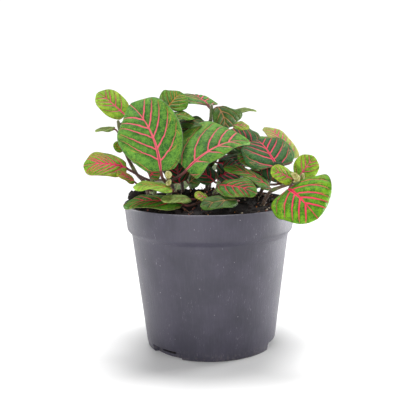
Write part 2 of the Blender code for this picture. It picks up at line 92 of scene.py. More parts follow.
STEMS = (
    ("stem_left", (-43, -6), ((-44, -6, 13), (-51, -8, 22), (-59, -6, 39), (-63, 2, 56))),
    ("stem_mid_left", (-37, -14), ((-39, -13, 16), (-42, -12, 24), (-44, -12, 31))),
    ("stem_centre", (-26, -27), ((-27, -28, 8), (-27.5, -29, 13), (-28, -29, 18))),
    ("stem_front", (2, -22), ((3, -24, 8), (5, -25, 12), (6, -26, 16))),
    ("stem_right", (36, -26), ((40, -29, 10), (49, -35, 15), (56, -38, 18))),
    ("stem_inner_right", (36, 6), ((40, 4, 12), (45, 2, 20), (48, 0, 27))),
    ("stem_upright", (-2, 9), ((-1, 8, 22), (1, 6, 45), (2, 5, 66))),
    ("stem_inner_left", (-19, 4), ((-21, 4, 25), (-25, 3, 48), (-27, 2, 63))),
    ("stem_back_left", (-26, 26), ((-32, 29, 16), (-42, 34, 27), (-48, 38, 36))),
    ("stem_back", (0, 32), ((1, 35, 16), (2, 41, 30), (2, 46, 42))),
    ("stem_back_right", (26, 26), ((31, 30, 14), (38, 36, 24), (44, 41, 34))),
)

# Leaves of each stem: name, look, place along the stem, blade base, blade tip, facing, then the blade's
# width, arch, fold, bend and tip curl, where along it is widest, and how much wider its right half is
LEAVES = {
    "stem_left": (
        ("leaf_14", "lime", 0.97, (-59, 12, 60), (-80, 22, 77), (-1, -8, 6), 19, 2, 0.08, 0, -2, 0.46, 0),
        ("leaf_15", "pale", 0.85, (-66, 3, 51), (-80, 6, 50), (0, -3, 9), 10, 1, 0.06, 0, 0, 0.4, 0),
        ("leaf_30", "bright", 0.45, (-59, -10.5, 37), (-64, -14.5, 43),
         (0, -9, 3), 7, 0, 0.06, 0, 0, 0.44, 0),
    ),
    "stem_mid_left": (
        ("leaf_16", "rose", 0.5, (-57, -12, 25), (-85, -18, 28), (-1, -6, 8), 25, 3, 0.1, 0, -1, 0.54, 0),
        ("leaf_17", "rose", 0.25, (-51, -20, 17), (-62, -27, 24), (0, -6, 8), 10, 1, 0.08, 0, 0, 0.45, 0),
        ("leaf_29", "rose", 0.8, (-50, -6, 28), (-53, -6, 36), (0, -9, 3), 6, 0, 0.06, 0, 0, 0.44, 0),
        ("leaf_31", "crimson", 0.85, (-40, -17, 29), (-30, -14, 36), (0, -8, 5), 14, 1, 0.06, 0, 0, 0.44, 0),
    ),
    "stem_centre": (
        ("leaf_01", "deep", 0.95, (-32, -30, 25), (-54, -13, 70),
         (-1, -9, 4), 43, 4, 0.08, 5, -6, 0.5, -0.06),
        ("leaf_02", "deep", 0.95, (-15, -28, 25), (28, -8, 43),
         (0, -6, 7), 35, 8, 0.12, -1, -2, 0.36, -0.5),
        ("leaf_18", "fresh", 0.5, (-25, -39, 14), (-49, -45, 17), (0, -2, 10), 20, 2, 0.06, 0, -1, 0.44, 0),
    ),
    "stem_front": (
        ("leaf_19", "pale", 0.35, (-13, -37, 7), (-31, -47, 8), (0, -4, 9), 12, 1, 0.1, 0, 0, 0.44, 0),
        ("leaf_20", "crimson", 0.12, (-18, -41, 4), (-57, -36, 4), (0, -3, 10), 22, 3, 0.08, 0, -1, 0.46, 0),
        ("leaf_21", "lime", 0.5, (-1, -38.5, 6.5), (-10, -42, 11), (0, -6, 8), 9, 1, 0.06, 0, 0, 0.44, 0),
        ("leaf_22", "olive", 0.4, (17, -45, 7), (-6, -54, 4.5), (0, -5, 9), 15, 2, 0.08, 0, 0, 0.44, 0),
        ("leaf_23", "crimson", 0.85, (7, -36, 15.5), (30, -49, 12.5),
         (0, -6, 9), 20, 2, 0.08, 0, -1, 0.44, 0),
        ("leaf_25", "shaded", 0.95, (3, -16, 16), (-9, -8, 24), (0, -6, 8), 16, 1, 0.08, 0, 0, 0.44, 0),
    ),
    "stem_right": (
        ("leaf_05", "lime", 0.97, (60, -26, 20), (70, -22, 33), (2, -9, 4), 17, 1, 0.1, 0, 0, 0.46, 0),
        ("leaf_06", "vivid", 0.9, (51.5, -42, 13), (67, -65, -2),
         (-3, -7, 6), 42, 7, 0.08, 0, 0, 0.42, -0.1),
        ("leaf_07", "lime", 0.97, (53, -42, 20), (39, -47, 27), (0, -8, 6), 13, 1, 0.1, 0, 0, 0.45, 0),
        ("leaf_24", "crimson", 0.5, (40.5, -19, 11.5), (10, -22, 26.8),
         (0, -3, 9), 18, 3, 0.08, 0, -1, 0.4, 0),
    ),
    "stem_inner_right": (
        ("leaf_03", "bluish", 0.95, (46, -9, 25), (33.5, 17, 43), (1, -6, 7), 38, 3, 0.08, 0, -2, 0.42, 0),
        ("leaf_04", "blush", 0.85, (59, 13, 28), (42.5, 43, 50.5), (2, -4, 9), 19, 3, 0.1, 0, -2, 0.36, 0),
        ("leaf_08", "bluish", 0.7, (34, 23, 36), (13, 30, 48), (0, -5, 9), 30, 2, 0.08, 0, -2, 0.44, 0),
        ("leaf_43", "vivid", 0.3, (50, 14, 10), (74, 24, 2), (3, 0, 9), 26, 4, 0.08, 0, -2, 0.44, 0),
    ),
    "stem_upright": (
        ("leaf_09", "deep", 0.97, (-1, 9, 67), (-16, 31, 75), (3, -3, 8.5), 29, 2, 0.04, 0, -2, 0.44, 0),
        ("leaf_10", "olive", 0.95, (6.5, 4, 65), (11, 3.5, 49.5),
         (4, -8, 3), 24, 4, 0.06, 0, -1, 0.56, -0.3),
        ("leaf_26", "pale", 0.95, (16, 26, 60.8), (35, 29, 61.8),
         (0, -2, 10), 12, 2, 0.04, 0, 0, 0.44, 0),
        ("leaf_27", "lime", 0.72, (17, 13, 52), (29, 15, 51), (0, -5, 8), 11, 1, 0.06, 0, 0, 0.44, 0),
        ("leaf_41", "olive", 0.88, (0, 20, 50), (1, 48, 46), (1, 1, 10), 26, 3, 0.06, 0, -2, 0.44, 0),
        ("leaf_47", "olive", 0.45, (12, 20, 32), (24, 42, 27), (1, 0, 10), 24, 3, 0.08, 0, -2, 0.44, 0),
    ),
    "stem_inner_left": (
        ("leaf_11", "bright", 0.97, (-28, -3, 66), (-19, 8, 76), (2, -7, 7), 21, 1, 0.08, 0, 0, 0.44, 0),
        ("leaf_12", "bright", 0.9, (-23, -8, 60), (-10.5, -1, 58.3),
         (0, -4, 9), 16, 2, 0.08, 0, 0, 0.44, 0),
        ("leaf_13", "olive", 0.84, (-22, -1, 54), (1, -1, 53), (0, -3, 10), 22, 3, 0.08, 0, -2, 0.44, 0),
        ("leaf_28", "shaded", 0.2, (-22, -8, 24), (-22, 0, 52), (0, -9, 3), 18, 2, 0.06, 0, 0, 0.44, 0),
        ("leaf_42", "deep", 0.92, (-34, 12, 58), (-44, 40, 59), (-1, 2, 10), 32, 4, 0.08, 0, -2, 0.44, 0),
        ("leaf_46", "olive", 0.75, (-12, 14, 48), (-22, 38, 44), (0, -1, 10), 24, 3, 0.08, 0, -2, 0.44, 0),
    ),
    "stem_back_left": (
        ("leaf_32", "deep", 0.95, (-49, 44, 42), (-58, 72, 44), (-1, 1, 10), 30, 5, 0.08, 0, -3, 0.44, 0),
        ("leaf_33", "deep", 0.9, (-38, 50, 39), (-32, 84, 33), (0, 3, 10), 32, 5, 0.08, 0, -3, 0.44, 0),
        ("leaf_34", "fresh", 0.25, (-40, 44, 10), (-52, 68, -8), (-2, 4, 8), 24, 4, 0.08, 0, -2, 0.44, 0),
    ),
    "stem_back": (
        ("leaf_35", "deep", 0.97, (-6, 50, 47), (-28, 66, 56), (-2, 2, 10), 32, 3, 0.08, 0, -2, 0.44, 0),
        ("leaf_36", "deep", 0.9, (10, 52, 38), (24, 85, 31), (1, 2, 10), 36, 6, 0.08, 0, -3, 0.44, 0),
        ("leaf_37", "fresh", 0.45, (-4, 54, 20), (-12, 84, 6), (0, 5, 8), 30, 5, 0.08, 0, -2, 0.44, 0),
        ("leaf_44", "crimson", 0.3, (-18, 54, 10), (-28, 84, -4), (-1, 5, 8), 26, 4, 0.08, 0, -2, 0.44, 0),
    ),
    "stem_back_right": (
        ("leaf_38", "deep", 0.95, (49, 48, 36), (54, 76, 34), (2, 1, 10), 26, 4, 0.08, 0, -3, 0.44, 0),
        ("leaf_39", "deep", 0.8, (36, 52, 30), (30, 84, 18), (1, 4, 9), 28, 5, 0.08, 0, -3, 0.44, 0),
        ("leaf_40", "lime", 0.5, (48, 38, 16), (72, 52, 4), (3, 3, 8), 26, 4, 0.08, 0, -2, 0.44, 0),
        ("leaf_45", "fresh", 0.3, (24, 50, 12), (34, 79, -2), (1, 5, 8), 26, 4, 0.08, 0, -2, 0.44, 0),
    ),
}


# ---- small helpers -------------------------------------------------------------------------------------


def plain(values):
    return np.asarray(values, float)


def unit(vector):
    return vector / np.linalg.norm(vector)


def smooth(low, high, value):
    t = np.clip((value - low) / (high - low), 0, 1)
    return t * t * (3 - 2 * t)


def hermite(start, end, leave, arrive, count):
    """Points of a cubic from start to end, with the first one left out."""
    t = np.arange(1, count + 1)[:, None] / count
    turn = 3 * t**2 - 2 * t**3
    return start + (end - start) * turn + leave * (t - 2 * t**2 + t**3) + arrive * (t**3 - t**2)


def rgb(red, green, blue):
    """A colour given as 0 to 255 display values, as the linear one that shaders take."""
    shades = (red, green, blue)
    return tuple(((c / 255 + 0.055) / 1.055) ** 2.4 if c > 10 else c / 3294.6 for c in shades) + (1.0,)


def placed(point):
    """A point given from the rim's centre, in millimetres of this pot."""
    return plain(point) * PLANT_SCALE + plain((0, 0, POT_HEIGHT))


def mesh_object(name, verts, faces, materials, slots=None, smooth_faces=True):
    """A mesh object from points in millimetres. slots gives each face's material."""
    mesh = bpy.data.meshes.new(name)
    mesh.from_pydata((plain(verts) * MM).tolist(), [], [list(map(int, face)) for face in faces])
    mesh.update()
    for material in materials:
        mesh.materials.append(material)
    if slots is not None:
        mesh.polygons.foreach_set("material_index", np.asarray(slots, np.int32))
    mesh.polygons.foreach_set("use_smooth", np.full(len(mesh.polygons), smooth_faces))
    made = bpy.data.objects.new(name, mesh)
    bpy.context.scene.collection.objects.link(made)
    return made


def finish_piece(piece, slot, *nodes):
    """The piece rides on the pot's body and stands for these CAD nodes, which it hides. slot is not used."""
    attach(piece, "root")
    if nodes:
        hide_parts(*nodes)
    return piece


# ---- camera, lights and floor --------------------------------------------------------------------------

CAMERA_AT = (0.0, -0.520, 0.181)
CAMERA_PITCH = 0.160
CAMERA_ROLL = 0.0105
CAMERA_LENS = 64.57
CAMERA_SHIFT = -0.0042
ROUND_LIGHT = 0.26
SEEN_LIGHT = 1.1
SKY_LIGHT = 3.1


def make_camera():
    data = bpy.data.cameras.new("camera")
    data.lens = CAMERA_LENS
    data.sensor_width = 36.0
    data.shift_x = CAMERA_SHIFT
    data.clip_start = 0.01
    ahead = Vector((0, math.cos(CAMERA_PITCH), -math.sin(CAMERA_PITCH)))
    above = Vector((0, math.sin(CAMERA_PITCH), math.cos(CAMERA_PITCH)))
    across = Vector((1, 0, 0))
    c = math.cos(CAMERA_ROLL)
    s = math.sin(CAMERA_ROLL)
    right = across * c - above * s
    up = across * s + above * c
    turn = Matrix((right, up, -ahead)).transposed().to_4x4()
    camera = bpy.data.objects.new("camera", data)
    camera.matrix_world = Matrix.Translation(CAMERA_AT) @ turn
    bpy.context.scene.collection.objects.link(camera)
    bpy.context.scene.camera = camera


def make_light(name, place, target, size, power, colour=(1, 1, 1)):
    data = bpy.data.lights.new(name, "AREA")
    data.shape = "DISK"
    data.size = size
    data.energy = power
    data.color = colour
    light = bpy.data.objects.new(name, data)
    light.location = place
    light.rotation_euler = (Vector(target) - Vector(place)).to_track_quat("-Z", "Y").to_euler()
    bpy.context.scene.collection.objects.link(light)


def make_studio():
    """A white studio: even light from all round, soft lamps and a white floor that fades into the white."""
    scene = bpy.context.scene
    scene.view_settings.view_transform = "Standard"
    world = bpy.data.worlds.new("studio")
    scene.world = world
    world.use_nodes = True
    tree = world.node_tree
    background = tree.nodes["Background"]
    background.inputs["Color"].default_value = (1.0, 1.0, 1.0, 1.0)
    path = tree.nodes.new("ShaderNodeLightPath")
    strength = tree.nodes.new("ShaderNodeMapRange")
    strength.inputs["To Min"].default_value = ROUND_LIGHT
    strength.inputs["To Max"].default_value = SEEN_LIGHT
    tree.links.new(path.outputs["Is Camera Ray"], strength.inputs["Value"])
    tree.links.new(strength.outputs["Result"], background.inputs["Strength"])
    middle = (0.0, 0.0, 0.12)
    make_light("key", (-0.45, -0.95, 0.24), middle, 0.45, 5.6)
    make_light("fill", (0.80, -0.60, 0.25), middle, 0.5, 1.2)
    make_light("edge_left", (-0.60, 0.30, 0.10), middle, 0.3, 1.8)
    make_light("edge_right", (0.60, 0.25, 0.10), middle, 0.3, 6.5)
    sky = bpy.data.lights.new("sky", "SUN")
    sky.energy = SKY_LIGHT
    sky.angle = math.radians(30)
    lamp = bpy.data.objects.new("sky", sky)
    lamp.rotation_euler = (math.radians(-19), 0, 0)
    scene.collection.objects.link(lamp)
    bpy.ops.mesh.primitive_plane_add(size=60.0, location=(0, 0, 0))
    floor = bpy.context.active_object
    floor.name = "floor"
    material = bpy.data.materials.new("floor")
    material.use_nodes = True
    shader = material.node_tree.nodes["Principled BSDF"]
    shader.inputs["Base Color"].default_value = (0.96, 0.96, 0.96, 1.0)
    shader.inputs["Roughness"].default_value = 1.0
    shader.inputs["Specular IOR Level"].default_value = 0.0
    floor.data.materials.append(material)


# ---- shader graph --------------------------------------------------------------------------------------


class Graph:
    """A material's nodes, made with one short call each."""

    def __init__(self, name):
        self.material = bpy.data.materials.new(name)
        self.material.use_nodes = True
        self.tree = self.material.node_tree
        self.shader = self.tree.nodes["Principled BSDF"]

    def node(self, kind, inputs, **settings):
        made = self.tree.nodes.new("ShaderNode" + kind)
        for key, value in settings.items():
            setattr(made, key, value)
        for key, value in inputs.items():
            if isinstance(value, bpy.types.NodeSocket):
                self.tree.links.new(value, made.inputs[key])
            else:
                made.inputs[key].default_value = value
        return made

    def math(self, operation, a, b=0.0, c=0.0):
        return self.node("Math", {0: a, 1: b, 2: c}, operation=operation).outputs[0]

    def ease(self, value, low, high, start=0.0, end=1.0):
        """start below low, end above high, and a smooth change between."""
        inputs = {"Value": value, "From Min": low, "From Max": high, "To Min": start, "To Max": end}
        return self.node("MapRange", inputs, interpolation_type="SMOOTHSTEP").outputs["Result"]

    def mix(self, share, a, b):
        return self.node("Mix", {0: share, 6: a, 7: b}, data_type="RGBA").outputs[2]

    def larger(self, a, b):
        return self.math("MAXIMUM", a, b)

    def times(self, a, b):
        return self.math("MULTIPLY", a, b)

    def plus(self, a, b):
        return self.math("ADD", a, b)

    def attribute(self, name):
        found = self.node("Attribute", {}, attribute_name=name)
        parts = self.node("SeparateXYZ", {0: found.outputs["Vector"]}).outputs
        return found.outputs["Vector"], parts[0], parts[1], parts[2]

    def noise(self, place, scale, detail=3.0, roughness=0.5):
        inputs = {"Vector": place, "Scale": scale, "Detail": detail, "Roughness": roughness}
        return self.node("TexNoise", inputs).outputs["Fac"]

    def place(self):
        """The piece's own coordinates in millimetres."""
        coordinates = self.node("TexCoord", {}).outputs["Object"]
        return self.node("VectorMath", {0: coordinates, 3: 1 / MM}, operation="SCALE").outputs["Vector"]

    def bump(self, height, distance, strength=1.0, before=None):
        inputs = {"Height": height, "Distance": distance, "Strength": strength}
        if before is not None:
            inputs["Normal"] = before
        return self.node("Bump", inputs).outputs["Normal"]

    def surface(self, colour, roughness, normal=None, **uniform):
        for key, value in {"Base Color": colour, "Roughness": roughness, "Normal": normal}.items():
            if isinstance(value, bpy.types.NodeSocket):
                self.tree.links.new(value, self.shader.inputs[key])
            elif value is not None:
                self.shader.inputs[key].default_value = value
        for key, value in uniform.items():
            self.shader.inputs[key.replace("_", " ")].default_value = value
        return self.material


# ---- leaf material -------------------------------------------------------------------------------------

# Each look: the blade's deep and light greens, its rim, then the veins near the midrib, at their thin ends
# and in the fine net, how strongly each shows, and how wide the veins are
LOOKS = {
    "deep": dict(deep=rgb(34, 88, 30), light=rgb(104, 160, 56), rim=rgb(112, 128, 92),
                 vein=rgb(236, 104, 118), thin=rgb(222, 132, 76), net=rgb(122, 172, 48),
                 core=rgb(120, 40, 60), wide=1.0, show=1.0),
    "bluish": dict(deep=rgb(20, 64, 32), light=rgb(60, 112, 48), rim=rgb(74, 106, 62),
                   vein=rgb(238, 76, 104), thin=rgb(226, 108, 92), net=rgb(88, 142, 58),
                   core=rgb(170, 20, 62), wide=0.95, show=1.0),
    "vivid": dict(deep=rgb(30, 94, 16), light=rgb(112, 172, 14), rim=rgb(104, 112, 34),
                  vein=rgb(236, 62, 92), thin=rgb(238, 86, 92), net=rgb(126, 182, 20),
                  core=rgb(196, 18, 56), wide=1.15, show=1.0),
    "lime": dict(deep=rgb(80, 132, 26), light=rgb(156, 196, 50), rim=rgb(176, 142, 60),
                 vein=rgb(236, 84, 118), thin=rgb(230, 112, 90), net=rgb(168, 196, 56),
                 core=rgb(220, 44, 100), wide=0.9, show=0.95),
    "rose": dict(deep=rgb(70, 124, 20), light=rgb(134, 176, 34), rim=rgb(206, 84, 84),
                 vein=rgb(228, 58, 96), thin=rgb(224, 74, 96), net=rgb(160, 150, 44),
                 core=rgb(206, 30, 88), wide=1.3, show=1.0),
    "blush": dict(deep=rgb(104, 150, 40), light=rgb(176, 192, 92), rim=rgb(214, 100, 116),
                  vein=rgb(236, 84, 124), thin=rgb(236, 116, 128), net=rgb(206, 160, 112),
                  core=rgb(206, 30, 88), wide=1.5, show=1.0),
    "fresh": dict(deep=rgb(84, 138, 34), light=rgb(158, 198, 64), rim=rgb(140, 164, 66),
                  vein=rgb(226, 110, 84), thin=rgb(216, 130, 76), net=rgb(146, 180, 58),
                  core=rgb(206, 84, 74), wide=0.85, show=0.75),
    "crimson": dict(deep=rgb(24, 70, 12), light=rgb(84, 136, 24), rim=rgb(170, 164, 100),
                    vein=rgb(214, 40, 72), thin=rgb(210, 76, 70), net=rgb(66, 112, 40),
                    core=rgb(140, 14, 48), wide=0.95, show=1.0),
    "shaded": dict(deep=rgb(8, 34, 16), light=rgb(30, 70, 28), rim=rgb(88, 108, 56),
                   vein=rgb(196, 26, 66), thin=rgb(176, 62, 60), net=rgb(42, 80, 34),
                   core=rgb(120, 8, 40), wide=0.85, show=1.0),
    "olive": dict(deep=rgb(34, 66, 20), light=rgb(70, 106, 32), rim=rgb(50, 70, 32),
                  vein=rgb(190, 132, 80), thin=rgb(126, 130, 50), net=rgb(82, 114, 42),
                  core=rgb(150, 110, 74), wide=0.7, show=0.75),
    "bright": dict(deep=rgb(44, 98, 20), light=rgb(106, 158, 36), rim=rgb(80, 110, 30),
                   vein=rgb(206, 150, 60), thin=rgb(180, 160, 50), net=rgb(112, 158, 30),
                   core=rgb(190, 130, 60), wide=0.75, show=0.8),
    "pale": dict(deep=rgb(86, 114, 44), light=rgb(136, 158, 76), rim=rgb(160, 166, 110),
                 vein=rgb(186, 134, 86), thin=rgb(160, 154, 84), net=rgb(158, 174, 98),
                 core=rgb(180, 122, 84), wide=0.6, show=0.4),
    "tip": dict(deep=rgb(186, 184, 70), light=rgb(246, 240, 190), rim=rgb(200, 196, 110),
                vein=rgb(232, 222, 160), thin=rgb(206, 200, 110), net=rgb(220, 214, 130),
                core=rgb(222, 206, 130), wide=0.5, show=0.4),
    "under": dict(deep=rgb(88, 114, 66), light=rgb(128, 150, 98), rim=rgb(140, 150, 96),
                  vein=rgb(176, 142, 116), thin=rgb(148, 158, 108), net=rgb(148, 168, 116),
                  core=rgb(160, 104, 96), wide=1.0, show=0.7),
}

PETIOLE_BROWN = rgb(76, 52, 44)
PETIOLE_PINK = rgb(126, 66, 66)


def vein_masks(g, wide):
    """Where the midrib, the side veins, their forks and loops, and the fine net run, from 0 to 1.

    leaf_run holds the place across and along the blade in mm and the leaf's width. leaf_vein holds a phase
    that is whole on each side vein, the gap between two of them in mm, and 0 at the midrib to 1 at the rim.
    """
    run, across, along, width = g.attribute("leaf_run")
    _, phase, gap, out = g.attribute("leaf_vein")
    grown = g.ease(width, 4.0, 42.0, 0.42 * wide, 1.0 * wide)
    wander = g.math("SUBTRACT", g.noise(run, 0.22, 2.0), 0.5)
    away = g.math("ABSOLUTE", across)
    nearest = g.math("ROUND", phase)
    side = g.plus(g.math("SUBTRACT", phase, nearest), g.times(wander, 0.22))
    distance = g.times(g.math("ABSOLUTE", side), gap)
    reach = g.ease(out, 0.10, 0.95, 0.50, 0.15)
    half = g.times(reach, grown)
    lateral = g.math("SUBTRACT", 1.0, g.ease(g.math("SUBTRACT", distance, half), -0.10, 0.16))
    lateral = g.times(lateral, g.ease(out, 0.84, 0.96, 1.0, 0.0))
    fork_from = g.plus(0.5, g.times(g.math("SINE", g.times(nearest, 5.0)), 0.12))
    past = g.math("SUBTRACT", out, fork_from)
    fork = g.times(g.math("ABSOLUTE", g.plus(side, g.times(past, 0.95))), gap)
    fork = g.math("SUBTRACT", 1.0, g.ease(g.math("SUBTRACT", fork, g.times(grown, 0.16)), -0.08, 0.16))
    fork = g.times(fork, g.times(g.ease(past, 0.0, 0.02), g.ease(out, 0.80, 0.92, 1.0, 0.0)))
    bow = g.math("ABSOLUTE", g.math("SINE", g.times(phase, math.pi)))
    loop = g.math("SUBTRACT", out, g.plus(0.80, g.plus(g.times(bow, 0.10), g.times(wander, 0.10))))
    loop = g.times(g.math("ABSOLUTE", loop), g.times(width, 0.5))
    loop = g.math("SUBTRACT", 1.0, g.ease(g.math("SUBTRACT", loop, g.times(grown, 0.16)), -0.08, 0.16))
    rib_half = g.times(g.attribute("leaf_rib")[1], grown)
    midrib = g.math("SUBTRACT", 1.0, g.ease(g.math("SUBTRACT", away, rib_half), -0.12, 0.14))
    core = g.math("SUBTRACT", 1.0, g.ease(g.math("SUBTRACT", away, g.times(rib_half, 0.3)), -0.1, 0.2))
    bent = g.node("VectorMath", {0: run, 1: (1.0, 1.0, 0.0)}, operation="MULTIPLY").outputs["Vector"]
    cells = g.node("TexVoronoi", {"Vector": bent, "Scale": 0.42}, feature="DISTANCE_TO_EDGE")
    net = g.ease(cells.outputs["Distance"], 0.02, 0.075, 1.0, 0.0)
    hold = g.larger(midrib, lateral)
    return dict(run=run, along=along, width=width, out=out, lateral=lateral, fork=fork, loop=loop,
                net=net, midrib=midrib, core=core, hold=hold, bow=bow)


def leaf_material(name, look):
    g = Graph(name)
    v = vein_masks(g, look["wide"])
    patch = g.noise(v["run"], 0.13, 4.0, 0.62)
    fine = g.noise(v["run"], 1.5, 3.0, 0.65)
    cells = g.node("TexVoronoi", {"Vector": v["run"], "Scale": 1.25}).outputs["Distance"]
    mottle = g.noise(v["run"], 0.42, 3.0, 0.6)
    lift = g.plus(g.times(v["bow"], 0.34), g.plus(g.times(patch, 1.3), g.times(fine, 1.1)))
    lift = g.plus(lift, g.times(mottle, 1.3))
    # Painted shade: the blade is made darker towards the edges of the Voronoi cells, where the bump below
    # sinks it
    lift = g.plus(lift, g.plus(g.times(v["out"], 0.34), g.times(cells, -0.34)))
    blade = g.mix(g.ease(lift, 1.62, 2.62), look["deep"], look["light"])
    net = g.times(v["net"], g.ease(fine, 0.35, 0.6, 0.35, 1.0))
    blade = g.mix(g.times(net, g.ease(v["out"], 0.1, 0.8, 0.30, 0.70)), blade, look["net"])
    far = g.plus(v["out"], g.times(g.math("SUBTRACT", patch, 0.5), 0.6))
    vein = g.mix(g.ease(far, 0.50, 1.0), look["vein"], look["thin"])
    thread = g.larger(g.times(v["fork"], 0.65), g.times(v["loop"], 0.5))
    thread = g.times(thread, g.ease(g.noise(v["run"], 0.16, 2.0), 0.40, 0.60, 0.0, 1.0))
    colour = g.mix(g.times(thread, look["show"]), blade, g.mix(0.35, look["thin"], look["net"]))
    faint = g.ease(g.plus(v["out"], g.times(g.math("SUBTRACT", fine, 0.5), 0.5)), 0.5, 1.0, 1.0, 0.5)
    colour = g.mix(g.times(v["lateral"], g.times(faint, look["show"])), colour, vein)
    colour = g.mix(g.times(v["midrib"], look["show"]), colour, look["vein"])
    low = g.ease(g.math("DIVIDE", v["along"], v["width"]), 0.05, 0.7, 0.9, 0.0)
    colour = g.mix(g.times(v["core"], low), colour, look["core"])
    # The outer edge takes the look's rim colour: partly the margin's own colour, as the pink of rose and
    # blush, and partly painted sheen where the rolled-down edge would catch the light, as the grey of deep
    # and pale
    colour = g.mix(g.ease(v["out"], 0.955, 0.995, 0.0, 0.8), colour, look["rim"])
    stalk = g.ease(v["along"], -0.6, 0.8, 1.0, 0.0)
    stalk_colour = g.mix(g.ease(v["along"], -7.0, -0.5), PETIOLE_BROWN, PETIOLE_PINK)
    stalk_colour = g.mix(g.times(fine, 0.5), stalk_colour, PETIOLE_BROWN)
    colour = g.mix(stalk, colour, stalk_colour)
    height = g.plus(g.times(cells, -0.55), g.plus(g.times(v["bow"], 0.5), g.times(v["hold"], -0.6)))
    height = g.plus(height, g.times(v["net"], -0.22))
    normal = g.bump(g.plus(height, g.times(mottle, 0.9)), 0.00055)
    roughness = g.ease(fine, 0.3, 0.7, 0.44, 0.58)
    return g.surface(colour, roughness, normal, Specular_IOR_Level=0.24)


# ---- leaf geometry -------------------------------------------------------------------------------------


def soil_height(x, y):
    """Height of the CAD's soil, which is heaped in the middle and lumpy."""
    reach = min(1.0, math.hypot(x, y) / (RIM_RADIUS - WALL))
    lumps = 0.9 * math.sin(x / 5.3 + 1.0) * math.cos(y / 6.1) + 0.6 * math.sin(x / 3.1 - y / 4.3)
    heap = SOIL_MOUND * PLANT_SCALE * (1 - reach * reach)
    return POT_HEIGHT - SOIL_DROP + heap + lumps * min(1.0, 4 * (1 - reach))


def stem_spine(foot, above, steps=6):
    """Points along a stem from the bottom of its socket to its tip."""
    x, y = plain(foot) * PLANT_SCALE
    z = soil_height(x, y)
    nodes = [plain((x, y, z + 1.2))] + [placed(point) for point in above]
    slopes = [plain((0, 0, nodes[1][2] - nodes[0][2]))]
    for i in range(1, len(nodes) - 1):
        slopes.append((nodes[i + 1] - nodes[i - 1]) / 2)
    slopes.append(nodes[-1] - nodes[-2])
    points = [plain([(x, y, z - SOCKET_DEPTH + 0.3)]), nodes[0][None]]
    for i in range(len(nodes) - 1):
        points.append(hermite(nodes[i], nodes[i + 1], slopes[i], slopes[i + 1], steps))
    return np.concatenate(points)


def shares_along(points):
    run = np.concatenate([[0.0], np.cumsum(np.linalg.norm(np.diff(points, axis=0), axis=1))])
    return run / run[-1]


def stem_radius(share):
    return STEM_RADIUS * PLANT_SCALE * (1 + (STEM_TAPER - 1) * share)


def stem_place(name, along):
    """Point, direction and radius of a stem at a share of its length above the soil."""
    foot, above = {row[0]: row[1:] for row in STEMS}[name]
    points = stem_spine(foot, above)[1:]
    shares = shares_along(points)
    at = [plain([np.interp(s, shares, points[:, axis]) for axis in range(3)])
          for s in (along - 0.04, along, along + 0.04)]
    return at[1], unit(at[2] - at[0]), stem_radius(along)


LOBE = 0.14
VEIN_LEAN = 0.58
VEIN_LEAN_MORE = 1.0
VEIN_CURVE = 0.55


def blade_outline(s, widest):
    """Half width along the blade, from 0 at its base to 1 where it is widest."""
    rise = 0.5 * min(1.0, widest / (1 - widest))
    fall = rise * (1 - widest) / widest
    return (s / widest) ** rise * ((1 - s) / (1 - widest)) ** fall


def lobe_back(s, u, width):
    return LOBE * width / 2 * u * u * np.minimum(1.0, s / 0.05) * np.maximum(0.0, 1 - s / 0.45) ** 2


def blade_height(s, u, fold, width):
    """Height of the blade over its midrib: a shallow V with the edges rolled down and a slight wave."""
    rim = np.abs(u)
    wave = 0.035 * width * rim**3 * np.sin(9.5 * s + np.where(u > 0, 0.6, 2.4))
    return width / 2 * (fold * rim - 0.14 * rim**2.4) * np.minimum(1.0, 6 * s) + wave


def vein_phase(across, along, length, half, places):
    """A phase that is whole along each side vein, and the gap between side veins in mm."""
    x = np.abs(across)
    top = along - VEIN_LEAN * x - VEIN_CURVE * x**3 / half**2
    spread = 1 + VEIN_LEAN_MORE * x / length
    start = top / spread
    d_along = 1 / spread
    d_across = (-(VEIN_LEAN + 3 * VEIN_CURVE * x**2 / half**2) * spread
                - top * VEIN_LEAN_MORE / length) / spread**2
    numbers = np.arange(len(places))
    steps = np.gradient(plain(places)) * length
    phase = np.interp(start, plain(places) * length, numbers)
    under = (start - places[0] * length) / steps[0]
    over = (start - places[-1] * length) / steps[-1]
    phase = np.where(under < 0, np.maximum(-0.5, under), phase)
    phase = np.where(over > 0, len(places) - 1 + np.minimum(0.5, over), phase)
    gap = np.interp(phase, numbers, steps) / np.hypot(d_along, d_across)
    return phase, gap


def blade_rows(count):
    even = np.arange(count) / count
    eased = 0.5 - 0.5 * np.cos(math.pi * even)
    return even * 0.55 + eased * 0.45


def leaf_relief(phase, gap, across, t, s, scale):
    """Puckers between the side veins, which lie in furrows, mm."""
    distance = np.abs(phase - np.round(phase)) * gap
    inside = (smooth(0.0, 0.12, t) * (1 - smooth(0.8, 1.0, t))
              * smooth(0.0, 0.1, s) * (1 - smooth(0.85, 1.0, s)))
    furrow = -0.42 * np.exp(-(distance / (0.9 * scale)) ** 2) + 0.20
    rib = -0.50 * np.exp(-(across / (1.1 * scale)) ** 2) * smooth(0.0, 0.08, s) * (1 - smooth(0.7, 1.0, s))
    return (furrow * inside + rib) * scale


